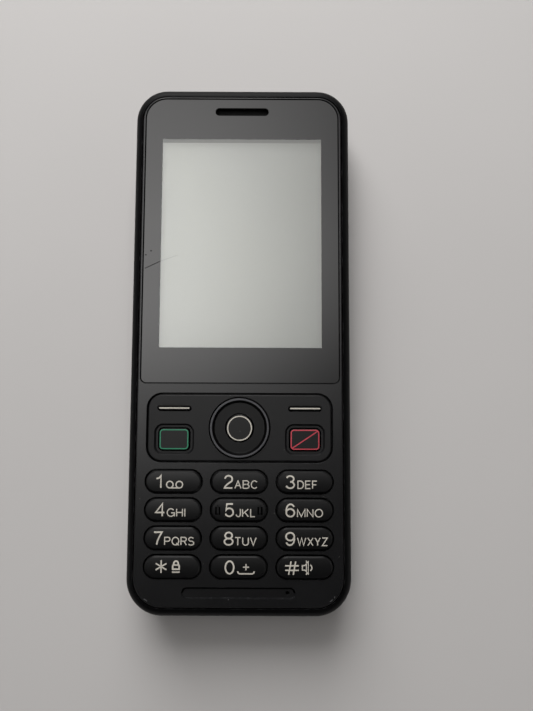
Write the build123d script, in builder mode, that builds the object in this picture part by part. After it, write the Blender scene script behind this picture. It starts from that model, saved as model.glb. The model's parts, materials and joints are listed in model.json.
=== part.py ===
"""Bar phone with a 2.4 inch display, a function plate and twelve number keys, in separate pieces.

The phone lies on its back: X runs across the face, Y towards the earpiece, Z out of the display.
The origin is the middle of the back face. All sizes are in millimetres.
"""

import os

from build123d import *

# Face sizes across the phone
display_width = 37.4
window_side_border = 3.9
side_rim = 0.7
plate_side_margin = 2.3
key_side_margin = 2.2
key_column_web = 1.8
groove_length = 25.2
mic_from_groove_end = 1.7
mic_hole_radius = 0.45
slot_length = 12.4

# Face sizes from the top edge down
top_rim = 0.5
slot_below_window_top = 3.1
slot_width = 1.65
window_top_border = 9.5
display_height = 49.5
window_bottom_border = 8.15
window_bottom_radius = 1.3
face_strip = 2.3
plate_height = 14.85
plate_radius = 3.1
rows_gap = 1.55
key_height = 4.75
key_row_web = 0.89
groove_gap = 1.75
groove_width = 2.45
groove_depth = 0.35
groove_slope = 0.12
bottom_margin = 2.0

# Body round the face
side_band = 2.0
end_band = 2.45
body_top_radius = 7.5
body_bottom_radius = 8.2
shoulder_radius = 2.4
band_drop = 0.1
cover_edge_radius = 2.8

# Layers from the back face to the front face
cover_wall = 1.0
battery_thickness = 4.3
floor_thickness = 0.8
board_standoff = 1.4
board_thickness = 0.9
lcd_thickness = 2.2
gasket_thickness = 0.3
ledge_thickness = 0.7
tape_thickness = 0.15
window_thickness = 1.0
window_sink = 0.05
rear_wall = 1.0
skirt_wall = 1.2

# Fits and clearances
band_gap = 0.2
cover_fit = 0.15
window_fit = 0.1
mask_overlap = 0.5
board_fit = 0.25
battery_fit = 0.25
part_fit = 0.15
key_clearance = 0.28
plate_clearance = 0.35
nav_clearance = 0.3
ok_clearance = 0.25
cap_clearance = 0.3

# Keys, their travel and the pieces that move
key_travel = 0.3
key_rise = 0.45
key_crown = 0.1
key_edge_bevel = 0.28
key_lip = 0.35
key_lip_thickness = 0.5
key_lip_gap = 0.12
press_margin = 0.1
plate_rise = 0.1
plate_edge_radius = 0.25
plate_lip = 0.6
plate_lip_thickness = 0.5
plate_lip_gap = 0.45
nav_web = 0.42
nav_rim_rise = 0.65
nav_rim_width = 0.5
nav_rim_slope = 0.6
nav_dish_rise = 0.1
nav_edge_radius = 0.18
ok_radius = 3.05
ok_rise = 0.25
rocker_width = 2.3
rocker_thickness = 0.45
rocker_pivot_height = 0.3
rocker_pivot_width = 0.4
pivot_play = 0.02
cap_from_plate_side = 2.525
cap_from_nav = 4.37
cap_height = 4.75
cap_radius = 0.9
cap_edge_radius = 0.2
recess_border = 1.15
recess_slope = 0.42
recess_depth = 0.45
cap_below_centre = 2.6
bar_above_centre = 4.4
bar_overhang = 0.125
bar_width = 0.5
bar_rise = 0.3
bar_slot_border = 0.45
bar_slot_depth = 0.45
nib_from_end = 1.45
nib_length = 2.6
nib_width = 0.35
nib_rise = 0.15
face_edge_radius = 0.3
opening_chamfer = 0.12

# Rubber mat and switch domes
film_thickness = 0.1
dome_radius = 1.8
dome_top_radius = 0.9
dome_height = 0.25
dome_sides = 8
plunger_height = 0.25
plunger_radius = 0.9
plunger_play = 0.05
mat_thickness = 0.35
mat_border = 0.4
mat_rim = 0.8
boss_inset = 1.1
boss_corner_radius = 0.45
light_length = 1.6
light_width = 0.8
light_height = 0.4

# Display module
tray_side_border = 1.6
tray_top_border = 1.9
tray_bottom_border = 3.2
tray_wall = 0.7
tray_floor = 1.1
flex_width = 14.0
flex_length = 5.0
flex_thickness = 0.15
flex_radius = 1.0
mesh_border = 0.6
earpiece_thickness = 1.9
earpiece_length = 12.0
earpiece_radius = 2.0

# Screws and bosses
screw_side_inset = 5.3
screw_end_inset = 3.55
boss_radius = 1.8
pilot_radius = 0.72
pilot_depth = 3.2
screw_radius = 0.7
screw_head_radius = 1.4
screw_head_height = 0.9
screw_tip_room = 0.3
screw_seat_depth = 1.8
column_radius = 2.3
boss_overlap = 0.4

# Battery, chambers and the pieces inside them
battery_width = 38.0
battery_radius = 1.2
chamber_wall = 1.2
ledge_inset = 2.9
top_chamber_length = 30.0
bottom_chamber_length = 17.5
chamber_radius = 2.4
sim_width = 15.0
sim_length = 18.0
sim_height = 1.3
sim_wall = 0.25
sim_side_offset = 9.5
sim_up = 11.0
sim_opening_border = 1.0
can_height = 1.25
can_radius = 0.6
large_can_width = 34.0
large_can_length = 22.0
small_can_width = 15.0
can_gap = 2.0
contact_length = 9.0
contact_depth = 3.0
contact_drop = 5.0
contact_width = 1.2
contact_height = 1.8
contact_pitch = 2.6
speaker_from_wall = 2.3
speaker_from_camera = 1.1
speaker_width = 11.0
speaker_height = 3.2
speaker_radius = 2.2
speaker_from_end = 10.5
mesh_thickness = 0.2
sound_slot_inset = 3.0
sound_slot_width = 0.9
sound_slot_pitch = 1.9
sound_slot_count = 4
camera_width = 8.0
camera_height = 4.0
camera_from_end = 10.0
lens_radius = 2.6
lens_fit = 0.3
camera_glass_radius = 3.6
camera_glass_thickness = 0.6
camera_glass_sink = 0.05
camera_glass_ledge = 0.7
motor_radius = 2.0
motor_length = 8.0
motor_side_offset = 8.5
motor_from_end = 22.5
motor_fit = 0.05
cradle_wall = 0.6
weight_gap = 0.5
weight_length = 3.0
shaft_radius = 0.4
weight_lift = 0.3
jack_radius = 1.8
jack_from_column = 1.1
jack_width = 6.2
jack_height = 4.7
jack_body_length = 9.0
cover_edge_below_jack = 0.2
jack_nose_radius = 2.3
jack_nose_sink = 0.4
jack_end_wall = 1.0
usb_width = 7.6
usb_height = 2.5
usb_length = 5.5
usb_wall = 0.3
usb_corner = 0.8
usb_sink = 0.5
usb_tongue_width = 4.2
usb_tongue_thickness = 0.6
usb_tongue_length = 3.6
usb_back_wall = 1.2
mic_radius = 1.7
mic_height = 1.4
antenna_length = 34.0
antenna_width = 10.0
antenna_thickness = 0.2
antenna_radius = 1.6
tab_length = 6.0
tab_width = 0.5
tab_height = 1.1
tab_spacing = 38.0
pry_length = 9.0
pry_height = 0.6

# Overall plan sizes, worked out from the face
window_width = display_width + 2 * window_side_border
window_length = window_top_border + display_height + window_bottom_border
front_width = window_width + 2 * side_rim
plate_width = front_width - 2 * plate_side_margin - 2 * plate_clearance
key_width = (front_width - 2 * key_side_margin - 2 * key_column_web - 6 * key_clearance) / 3
column_pitch = key_width + 2 * key_clearance + key_column_web
row_pitch = key_height + 2 * key_clearance + key_row_web
rows_length = 3 * row_pitch + key_height + 2 * key_clearance
plate_opening_height = plate_height + 2 * plate_clearance
front_length = (
    top_rim
    + window_length
    + face_strip
    + plate_opening_height
    + rows_gap
    + rows_length
    + groove_gap
    + groove_width
    + bottom_margin
)
body_width = front_width + 2 * side_band
body_length = front_length + 2 * end_band
front_top_radius = body_top_radius - side_band
front_bottom_radius = body_bottom_radius - side_band
window_top_radius = front_top_radius - side_rim

# Heights of the layers
bay_z = cover_wall + cover_fit
floor_z = bay_z + battery_thickness
core_z = floor_z + floor_thickness
board_z = core_z + board_standoff
board_top_z = board_z + board_thickness
lcd_top_z = board_top_z + lcd_thickness
face_under_z = lcd_top_z + gasket_thickness
ledge_z = face_under_z + ledge_thickness
window_z = ledge_z + tape_thickness
window_top_z = window_z + window_thickness
front_z = window_top_z + window_sink
chamber_z = bay_z + rear_wall
jack_z = board_top_z - part_fit - jack_height / 2
parting_z = jack_z - jack_nose_radius - cover_edge_below_jack
cover_height = parting_z - cover_fit

# Places along the phone
window_top_y = front_length / 2 - top_rim
window_bottom_y = window_top_y - window_length
window_y = (window_top_y + window_bottom_y) / 2
display_y = window_top_y - window_top_border - display_height / 2
slot_y = window_top_y - slot_below_window_top
plate_y = window_bottom_y - face_strip - plate_opening_height / 2
first_row_y = plate_y - plate_opening_height / 2 - rows_gap - key_clearance - key_height / 2
last_row_y = first_row_y - 3 * row_pitch
groove_y = last_row_y - key_height / 2 - key_clearance - groove_gap - groove_width / 2
mic_spot = (groove_length / 2 - mic_from_groove_end, groove_y)
chamber_end_y = front_length / 2 - ledge_inset
bay_top_y = chamber_end_y - top_chamber_length - chamber_wall
bay_bottom_y = -chamber_end_y + bottom_chamber_length + chamber_wall
bay_length = bay_top_y - bay_bottom_y
bay_y = (bay_top_y + bay_bottom_y) / 2
chamber_width = front_width - 2 * ledge_inset
screw_x = front_width / 2 - screw_side_inset
screw_y = front_length / 2 - screw_end_inset
screw_spots = [(-screw_x, -screw_y), (screw_x, -screw_y), (-screw_x, screw_y), (screw_x, screw_y)]
tab_x = body_width / 2 - cover_wall + tab_width / 2
tab_spots = [(side, step * tab_spacing) for side in (-1, 1) for step in (-1, 0, 1)]

# Places and heights of the keys
key_rows = [
    ("key_1", "key_2", "key_3"),
    ("key_4", "key_5", "key_6"),
    ("key_7", "key_8", "key_9"),
    ("key_star", "key_0", "key_hash"),
]
key_spots = {
    name: ((column - 1) * column_pitch, first_row_y - row * row_pitch)
    for row, names in enumerate(key_rows)
    for column, name in enumerate(names)
}
key_top_z = front_z + key_rise
key_lip_top_z = face_under_z - key_lip_gap
key_z = key_lip_top_z - key_lip_thickness
plate_top_z = front_z + plate_rise
plate_lip_top_z = face_under_z - plate_lip_gap
plate_z = plate_lip_top_z - plate_lip_thickness
film_top_z = board_top_z + film_thickness
mat_z = film_top_z + dome_height + plunger_height
mat_top_z = mat_z + mat_thickness
rocker_z = mat_top_z + rocker_pivot_height
rocker_top_z = rocker_z + rocker_thickness
nav_z = rocker_top_z + rocker_pivot_height
nav_radius = plate_height / 2 - nav_web - nav_clearance
nav_hole_radius = ok_radius + ok_clearance
nav_opening_radius = nav_radius + nav_clearance
rocker_radius = nav_radius - (nav_radius - nav_hole_radius - rocker_width) / 2
pivot_radius = rocker_radius - rocker_width / 2
cap_z = mat_top_z + key_travel + 2 * press_margin
cap_y = plate_y - cap_below_centre
cap_width = plate_width / 2 - nav_opening_radius - cap_from_plate_side - cap_from_nav
cap_side_offset = nav_opening_radius + cap_from_nav + cap_width / 2
bar_length = cap_width + 2 * bar_overhang
bar_y = plate_y + bar_above_centre
cap_spots = {"call_key": (-cap_side_offset, cap_y), "end_key": (cap_side_offset, cap_y)}
bar_spots = [(-cap_side_offset, bar_y), (cap_side_offset, bar_y)]
nav_spots = [(0, plate_y + pivot_radius), (0, plate_y - pivot_radius)]
nav_side_spots = [(pivot_radius, plate_y), (-pivot_radius, plate_y)]
plate_dome_spots = [*cap_spots.values(), *bar_spots, *nav_spots, *nav_side_spots, (0, plate_y)]
dome_spots = [*key_spots.values(), *plate_dome_spots]
light_spots = [
    (side * column_pitch / 2, first_row_y - (row + 0.5) * row_pitch)
    for side in (-1, 1)
    for row in (0, 1, 2)
]
mesh_length = slot_length + 2 * mesh_border
mesh_width = slot_width + 2 * mesh_border
earpiece_width = 2 * (front_length / 2 - skirt_wall - part_fit - slot_y)
tray_width = display_width + 2 * tray_side_border
tray_length = display_height + tray_top_border + tray_bottom_border
tray_y = display_y + (tray_top_border - tray_bottom_border) / 2
mat_width = front_width - 2 * (skirt_wall + mat_border)
mat_top_y = plate_y + plate_height / 2 + plate_lip + mat_border
mat_bottom_y = last_row_y - key_height / 2 - key_lip - mat_border
mat_length = mat_top_y - mat_bottom_y
mat_y = (mat_top_y + mat_bottom_y) / 2

# Places of the pieces behind the board
boss_z = core_z + boss_overlap
screw_seat_z = bay_z + screw_seat_depth
screw_length = boss_z - screw_seat_z + pilot_depth - screw_tip_room
speaker_length = chamber_width / 2 - camera_width / 2 - speaker_from_wall - speaker_from_camera
speaker_side_offset = (camera_width + speaker_length) / 2 + speaker_from_camera
speaker_spot = (-speaker_side_offset, chamber_end_y - speaker_from_end)
sound_slot_length = speaker_length - 2 * sound_slot_inset
camera_spot = (0, chamber_end_y - camera_from_end)
motor_y = chamber_end_y - motor_from_end
motor_z = chamber_z + motor_radius + weight_lift
jack_side_offset = screw_x - column_radius - jack_from_column - jack_width / 2
jack_nose_end_y = body_length / 2 - jack_nose_sink
jack_body_end_y = chamber_end_y - part_fit
board_notch_depth = front_length / 2 - jack_body_end_y + jack_body_length + board_fit
usb_mouth_y = -body_length / 2 + usb_sink
usb_z = board_z - usb_height
contact_face_y = bay_top_y + chamber_wall
battery_end_y = bay_top_y - battery_fit
battery_middle_z = bay_z + battery_thickness / 2
sim_spot = (-sim_side_offset, bay_y + sim_up)
small_can_spot = (sim_spot[0] + sim_width / 2 + can_gap + small_can_width / 2, sim_spot[1])
large_can_spot = (0, sim_spot[1] - sim_length / 2 - can_gap - large_can_length / 2)


jack_plane = Plane((jack_side_offset, jack_body_end_y, jack_z), x_dir=(1, 0, 0), z_dir=(0, 1, 0))
usb_plane = Plane((0, usb_mouth_y, usb_z + usb_height / 2), x_dir=(1, 0, 0), z_dir=(0, -1, 0))
motor_plane = Plane((motor_side_offset, motor_y, motor_z), x_dir=(0, 1, 0), z_dir=(1, 0, 0))
nav_plane = Plane((0, plate_y, 0), x_dir=(1, 0, 0), z_dir=(0, -1, 0))


def draw_outline(height, width, length, top_radius, bottom_radius):
    """Draw a rectangle with one radius at its top corners and one at its bottom corners."""
    with BuildSketch(Plane.XY.offset(height)) as outline:
        Rectangle(width, length)
        fillet(outline.vertices().group_by(Axis.Y)[-1], top_radius)
        fillet(outline.vertices().group_by(Axis.Y)[0], bottom_radius)
    return outline.sketch


def draw_front(height, inset):
    """Draw the outline of the front cover, moved inwards by the inset."""
    width = front_width - 2 * inset
    length = front_length - 2 * inset
    return draw_outline(height, width, length, front_top_radius - inset, front_bottom_radius - inset)


def draw_body(height, inset):
    """Draw the outline of the whole body, moved inwards by the inset."""
    width = body_width - 2 * inset
    length = body_length - 2 * inset
    return draw_outline(height, width, length, body_top_radius - inset, body_bottom_radius - inset)


def draw_window(height, grow):
    """Draw the outline of the display window, moved outwards by the given amount."""
    with BuildSketch(Plane.XY.offset(height)) as outline:
        with Locations((0, window_y)):
            Rectangle(window_width + 2 * grow, window_length + 2 * grow)
        fillet(outline.vertices().group_by(Axis.Y)[-1], window_top_radius + grow)
        fillet(outline.vertices().group_by(Axis.Y)[0], window_bottom_radius + grow)
    return outline.sketch


def draw_sound_slots(height):
    """Draw the row of sound slots over the loudspeaker."""
    with BuildSketch(Plane.XY.offset(height)) as slots:
        with Locations(speaker_spot):
            with GridLocations(0, sound_slot_pitch, 1, sound_slot_count):
                SlotOverall(sound_slot_length, sound_slot_width)
    return slots.sketch


def save(piece, name):
    """Name a finished piece and write its file."""
    piece.part.label = name
    export_step(piece.part, f"parts/{name}.step")


os.makedirs("parts", exist_ok=True)

# Front cover with its skirt, window recess, key openings, grip groove and screw bosses
with BuildPart() as front_cover:
    extrude(draw_front(board_z, 0), amount=front_z - board_z)
    fillet(front_cover.faces().sort_by(Axis.Z)[-1].edges(), face_edge_radius)
    extrude(draw_front(board_z, skirt_wall), amount=face_under_z - board_z, mode=Mode.SUBTRACT)
    extrude(draw_window(ledge_z, window_fit), amount=front_z - ledge_z, mode=Mode.SUBTRACT)
    with BuildSketch(Plane.XY.offset(face_under_z)):
        with Locations((0, display_y)):
            Rectangle(display_width + 2 * mask_overlap, display_height + 2 * mask_overlap)
        with Locations((0, slot_y)):
            SlotOverall(slot_length, slot_width)
    extrude(amount=ledge_thickness, mode=Mode.SUBTRACT)
    with BuildSketch(Plane.XY.offset(face_under_z)):
        with Locations((0, plate_y)):
            RectangleRounded(
                plate_width + 2 * plate_clearance, plate_opening_height, plate_radius + plate_clearance
            )
        with Locations(*key_spots.values()):
            SlotOverall(key_width + 2 * key_clearance, key_height + 2 * key_clearance)
    extrude(amount=front_z - face_under_z, mode=Mode.SUBTRACT)
    chamfer(front_cover.faces().sort_by(Axis.Z)[-1].inner_wires().edges(), opening_chamfer)
    with BuildSketch(Plane.XY.offset(front_z)):
        with Locations((0, groove_y)):
            SlotOverall(groove_length, groove_width)
    with BuildSketch(Plane.XY.offset(front_z - groove_depth)):
        with Locations((0, groove_y)):
            SlotOverall(groove_length - 2 * groove_slope, groove_width - 2 * groove_slope)
    loft(mode=Mode.SUBTRACT)
    with BuildSketch(Plane.XY.offset(face_under_z)):
        with Locations(mic_spot):
            Circle(mic_hole_radius)
    extrude(amount=front_z - face_under_z, mode=Mode.SUBTRACT)
    with BuildSketch(Plane.XY.offset(boss_z)):
        with Locations(*screw_spots):
            Circle(boss_radius)
    extrude(amount=face_under_z - boss_z)
    with BuildSketch(Plane.XY.offset(boss_z)):
        with Locations(*screw_spots):
            Circle(pilot_radius)
    extrude(amount=pilot_depth, mode=Mode.SUBTRACT)
    with BuildSketch(jack_plane):
        Circle(jack_nose_radius + part_fit)
    extrude(amount=jack_nose_end_y - jack_body_end_y, mode=Mode.SUBTRACT)
save(front_cover, "front_cover")

# Frame: the band round the face, the battery bay and the chambers at both ends
with BuildPart() as frame:
    extrude(draw_body(parting_z, 0), amount=front_z - band_drop - parting_z)
    fillet(frame.faces().sort_by(Axis.Z)[-1].edges(), shoulder_radius)
    extrude(draw_body(bay_z, bay_z), amount=parting_z - bay_z)
    fillet(frame.faces().sort_by(Axis.Z)[0].edges(), cover_edge_radius - bay_z)
    extrude(draw_front(board_z, -band_gap), amount=front_z - board_z, mode=Mode.SUBTRACT)
    extrude(draw_front(core_z, ledge_inset), amount=board_z - core_z, mode=Mode.SUBTRACT)
    with BuildSketch(Plane.XY.offset(chamber_z)):
        with Locations((0, chamber_end_y - top_chamber_length / 2)):
            RectangleRounded(chamber_width, top_chamber_length, chamber_radius)
        with Locations((0, -chamber_end_y + bottom_chamber_length / 2)):
            RectangleRounded(chamber_width, bottom_chamber_length, chamber_radius)
    extrude(amount=board_z - chamber_z, mode=Mode.SUBTRACT)
    with BuildSketch(Plane.XY.offset(bay_z)):
        with Locations((0, bay_y)):
            RectangleRounded(battery_width + 2 * battery_fit, bay_length, battery_radius)
    extrude(amount=battery_thickness, mode=Mode.SUBTRACT)
    with BuildSketch(Plane.XY.offset(floor_z)):
        with Locations(sim_spot):
            Rectangle(sim_width - 2 * sim_opening_border, sim_length - 2 * sim_opening_border)
    extrude(amount=floor_thickness, mode=Mode.SUBTRACT)
    with BuildSketch(Plane.XY.offset(chamber_z)):
        with Locations(*screw_spots):
            Circle(column_radius)
    extrude(amount=boss_z - chamber_z)
    with BuildSketch(Plane.XY.offset(boss_z)):
        with Locations(*screw_spots):
            Circle(boss_radius + part_fit)
    extrude(amount=board_z - boss_z, mode=Mode.SUBTRACT)
    with BuildSketch(Plane.XY.offset(bay_z)):
        with Locations(*screw_spots):
            Circle(screw_radius + part_fit)
    extrude(amount=boss_z - bay_z, mode=Mode.SUBTRACT)
    with BuildSketch(Plane.XY.offset(bay_z)):
        with Locations(*screw_spots):
            Circle(screw_head_radius + part_fit)
    extrude(amount=screw_seat_depth, mode=Mode.SUBTRACT)
    with BuildSketch(Plane.XY.offset(bay_z)):
        with Locations(camera_spot):
            Circle(lens_radius + lens_fit)
    extrude(amount=rear_wall, mode=Mode.SUBTRACT)
    extrude(draw_sound_slots(bay_z), amount=rear_wall, mode=Mode.SUBTRACT)
    with BuildSketch(Plane.XY.offset(chamber_z)):
        with Locations((motor_side_offset, motor_y)):
            Rectangle(motor_length, 2 * (motor_radius + cradle_wall))
    extrude(amount=motor_z - chamber_z)
    with BuildSketch(motor_plane):
        Circle(motor_radius + motor_fit)
    extrude(amount=motor_length / 2, both=True, mode=Mode.SUBTRACT)
    with BuildSketch(Plane.XY.offset(chamber_z)):
        with Locations((jack_side_offset, jack_body_end_y - jack_body_length / 2)):
            Rectangle(jack_width, jack_body_length)
    extrude(amount=jack_z - jack_height / 2 - chamber_z)
    with BuildSketch(jack_plane):
        Circle(jack_nose_radius + part_fit)
    extrude(amount=body_length / 2 - jack_body_end_y, mode=Mode.SUBTRACT)
    with BuildSketch(usb_plane.offset(usb_sink)) as usb_opening:
        Rectangle(usb_width + 2 * part_fit, usb_height + 2 * part_fit)
        chamfer(usb_opening.vertices().group_by(Axis.Y)[0], usb_corner)
    extrude(amount=-usb_sink - usb_length, mode=Mode.SUBTRACT)
    with BuildSketch(Plane.XY.offset(battery_middle_z - contact_height / 2 - part_fit)):
        with Locations((0, contact_face_y - chamber_wall / 2)):
            Rectangle(2 * contact_pitch + contact_width + 2 * part_fit, chamber_wall)
    extrude(amount=contact_height + 2 * part_fit, mode=Mode.SUBTRACT)
    with BuildSketch(Plane.XY.offset(parting_z)):
        for side, y in tab_spots:
            with Locations((side * tab_x, y)):
                Rectangle(tab_width + 2 * part_fit, tab_length + 2 * part_fit)
    extrude(amount=tab_height, mode=Mode.SUBTRACT)
save(frame, "frame")

# Battery cover: a shallow shell with rounded back edges, locating tabs, sound slots and the camera hole
with BuildPart() as battery_cover:
    extrude(draw_body(0, 0), amount=cover_height)
    fillet(battery_cover.faces().sort_by(Axis.Z)[0].edges(), cover_edge_radius)
    extrude(draw_body(cover_wall, cover_wall), amount=cover_height - cover_wall, mode=Mode.SUBTRACT)
    fillet(
        battery_cover.edges().filter_by_position(Axis.Z, cover_wall, cover_wall),
        cover_edge_radius - cover_wall,
    )
    with BuildSketch(Plane.XY.offset(cover_height)):
        for side, y in tab_spots:
            with Locations((side * tab_x, y)):
                Rectangle(tab_width, tab_length)
    extrude(amount=tab_height)
    extrude(draw_sound_slots(0), amount=cover_wall, mode=Mode.SUBTRACT)
    with BuildSketch():
        with Locations(camera_spot):
            Circle(camera_glass_radius + part_fit)
    extrude(amount=camera_glass_thickness + camera_glass_sink, mode=Mode.SUBTRACT)
    with BuildSketch():
        with Locations(camera_spot):
            Circle(camera_glass_radius - camera_glass_ledge)
    extrude(amount=cover_wall, mode=Mode.SUBTRACT)
    with BuildSketch(Plane.XY.offset(cover_height - pry_height)):
        with Locations((0, -body_length / 2)):
            Rectangle(pry_length, 2 * cover_wall)
    extrude(amount=pry_height, mode=Mode.SUBTRACT)
save(battery_cover, "battery_cover")

with BuildPart() as camera_glass:
    with BuildSketch(Plane.XY.offset(camera_glass_sink)):
        with Locations(camera_spot):
            Circle(camera_glass_radius)
    extrude(amount=camera_glass_thickness)
save(camera_glass, "camera_glass")

# Window, its tape mask and the earpiece behind it
with BuildPart() as display_window:
    extrude(draw_window(window_z, 0), amount=window_thickness)
    with BuildSketch(Plane.XY.offset(window_z)):
        with Locations((0, slot_y)):
            SlotOverall(slot_length, slot_width)
    extrude(amount=window_thickness, mode=Mode.SUBTRACT)
    chamfer(display_window.faces().sort_by(Axis.Z)[-1].edges(), opening_chamfer)
save(display_window, "display_window")

with BuildPart() as window_tape:
    extrude(draw_window(ledge_z, 0), amount=tape_thickness)
    with BuildSketch(Plane.XY.offset(ledge_z)):
        with Locations((0, display_y)):
            Rectangle(display_width, display_height)
        with Locations((0, slot_y)):
            SlotOverall(mesh_length + 2 * part_fit, mesh_width + 2 * part_fit)
    extrude(amount=tape_thickness, mode=Mode.SUBTRACT)
save(window_tape, "window_tape")

with BuildPart() as earpiece_mesh:
    with BuildSketch(Plane.XY.offset(ledge_z)):
        with Locations((0, slot_y)):
            SlotOverall(mesh_length, mesh_width)
    extrude(amount=tape_thickness)
save(earpiece_mesh, "earpiece_mesh")

with BuildPart() as earpiece:
    with BuildSketch(Plane.XY.offset(face_under_z - earpiece_thickness)):
        with Locations((0, slot_y)):
            RectangleRounded(earpiece_length, earpiece_width, earpiece_radius)
    extrude(amount=earpiece_thickness)
save(earpiece, "earpiece")

# Display module: gasket, panel, tray and flexible tail
with BuildPart() as lcd_tray:
    with BuildSketch(Plane.XY.offset(board_top_z)):
        with Locations((0, tray_y)):
            RectangleRounded(tray_width, tray_length, tray_wall)
    extrude(amount=lcd_thickness)
    with BuildSketch(Plane.XY.offset(board_top_z + tray_floor)):
        with Locations((0, tray_y)):
            Rectangle(tray_width - 2 * tray_wall, tray_length - 2 * tray_wall)
    extrude(amount=lcd_thickness - tray_floor, mode=Mode.SUBTRACT)
save(lcd_tray, "lcd_tray")

with BuildPart() as lcd_panel:
    with BuildSketch(Plane.XY.offset(board_top_z + tray_floor)):
        with Locations((0, tray_y)):
            Rectangle(tray_width - 2 * tray_wall - 2 * part_fit, tray_length - 2 * tray_wall - 2 * part_fit)
    extrude(amount=lcd_thickness - tray_floor)
save(lcd_panel, "lcd_panel")

with BuildPart() as display_gasket:
    with BuildSketch(Plane.XY.offset(lcd_top_z)):
        with Locations((0, tray_y)):
            RectangleRounded(tray_width, tray_length, tray_wall)
        with Locations((0, display_y)):
            Rectangle(
                display_width + 2 * mask_overlap, display_height + 2 * mask_overlap, mode=Mode.SUBTRACT
            )
    extrude(amount=gasket_thickness)
save(display_gasket, "display_gasket")

with BuildPart() as display_flex:
    with BuildSketch(Plane.XY.offset(board_top_z)):
        with Locations((0, tray_y - tray_length / 2 - flex_length / 2)):
            RectangleRounded(flex_width, flex_length, flex_radius)
    extrude(amount=flex_thickness)
save(display_flex, "display_flex")

# Function plate with its dished key recesses and raised soft-key bars
with BuildPart() as function_plate:
    with BuildSketch(Plane.XY.offset(plate_z)):
        with Locations((0, plate_y)):
            RectangleRounded(plate_width, plate_height, plate_radius)
    extrude(amount=plate_top_z - plate_z)
    fillet(function_plate.faces().sort_by(Axis.Z)[-1].edges(), plate_edge_radius)
    with BuildSketch(Plane.XY.offset(plate_z)):
        with Locations((0, plate_y)):
            RectangleRounded(
                plate_width + 2 * plate_lip, plate_height + 2 * plate_lip, plate_radius + plate_lip
            )
    extrude(amount=plate_lip_thickness)
    with BuildSketch(Plane.XY.offset(plate_z)):
        with Locations((0, plate_y)):
            Circle(nav_opening_radius)
        with Locations(*cap_spots.values()):
            RectangleRounded(
                cap_width + 2 * cap_clearance, cap_height + 2 * cap_clearance, cap_radius + cap_clearance
            )
    extrude(amount=plate_top_z - plate_z, mode=Mode.SUBTRACT)
    for spot in cap_spots.values():
        with BuildSketch(Plane.XY.offset(plate_top_z)):
            with Locations(spot):
                RectangleRounded(
                    cap_width + 2 * recess_border, cap_height + 2 * recess_border, cap_radius + recess_border
                )
        with BuildSketch(Plane.XY.offset(plate_top_z - recess_depth)):
            with Locations(spot):
                RectangleRounded(
                    cap_width + 2 * (recess_border - recess_slope),
                    cap_height + 2 * (recess_border - recess_slope),
                    cap_radius + recess_border - recess_slope,
                )
        loft(mode=Mode.SUBTRACT)
    with BuildSketch(Plane.XY.offset(plate_top_z - bar_slot_depth)):
        with Locations(*bar_spots):
            SlotOverall(bar_length + 2 * bar_slot_border, bar_width + 2 * bar_slot_border)
    extrude(amount=bar_slot_depth, mode=Mode.SUBTRACT)
    with BuildSketch(Plane.XY.offset(plate_top_z - bar_slot_depth)):
        with Locations(*bar_spots):
            SlotOverall(bar_length, bar_width)
    extrude(amount=bar_slot_depth + bar_rise)
save(function_plate, "function_plate")

for name, spot in cap_spots.items():
    with BuildPart() as cap:
        with BuildSketch(Plane.XY.offset(cap_z)):
            with Locations(spot):
                RectangleRounded(cap_width, cap_height, cap_radius)
        extrude(amount=plate_top_z - cap_z)
        fillet(cap.faces().sort_by(Axis.Z)[-1].edges(), cap_edge_radius)
    save(cap, name)

# Navigation ring: a turned dish with a raised rim, on a rocker with two pairs of pivots
with BuildPart() as nav_ring:
    with BuildSketch(nav_plane) as section:
        with BuildLine():
            Polyline(
                (nav_hole_radius, nav_z),
                (nav_radius, nav_z),
                (nav_radius, front_z + nav_rim_rise),
                (nav_radius - nav_rim_width, front_z + nav_rim_rise),
                (nav_radius - nav_rim_width - nav_rim_slope, front_z + nav_dish_rise),
                (nav_hole_radius, front_z + nav_dish_rise),
                close=True,
            )
        make_face()
        fillet(section.vertices().group_by(Axis.Y)[-1], nav_edge_radius)
    revolve(axis=Axis((0, plate_y, 0), (0, 0, 1)))
save(nav_ring, "nav_ring")

with BuildPart() as nav_rocker:
    with BuildSketch(Plane.XY.offset(rocker_z)):
        with Locations((0, plate_y)):
            Circle(rocker_radius)
            Circle(rocker_radius - rocker_width, mode=Mode.SUBTRACT)
    extrude(amount=rocker_thickness)
    with BuildSketch(Plane.XY.offset(rocker_top_z)):
        with Locations(*nav_spots):
            Rectangle(rocker_pivot_width, rocker_width / 2)
    extrude(amount=rocker_pivot_height - pivot_play)
save(nav_rocker, "nav_rocker")

with BuildPart() as ok_key:
    with BuildSketch(Plane.XY.offset(cap_z)):
        with Locations((0, plate_y)):
            Circle(ok_radius)
    extrude(amount=front_z + ok_rise - cap_z)
    fillet(ok_key.faces().sort_by(Axis.Z)[-1].edges(), cap_edge_radius)
save(ok_key, "ok_key")

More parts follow.
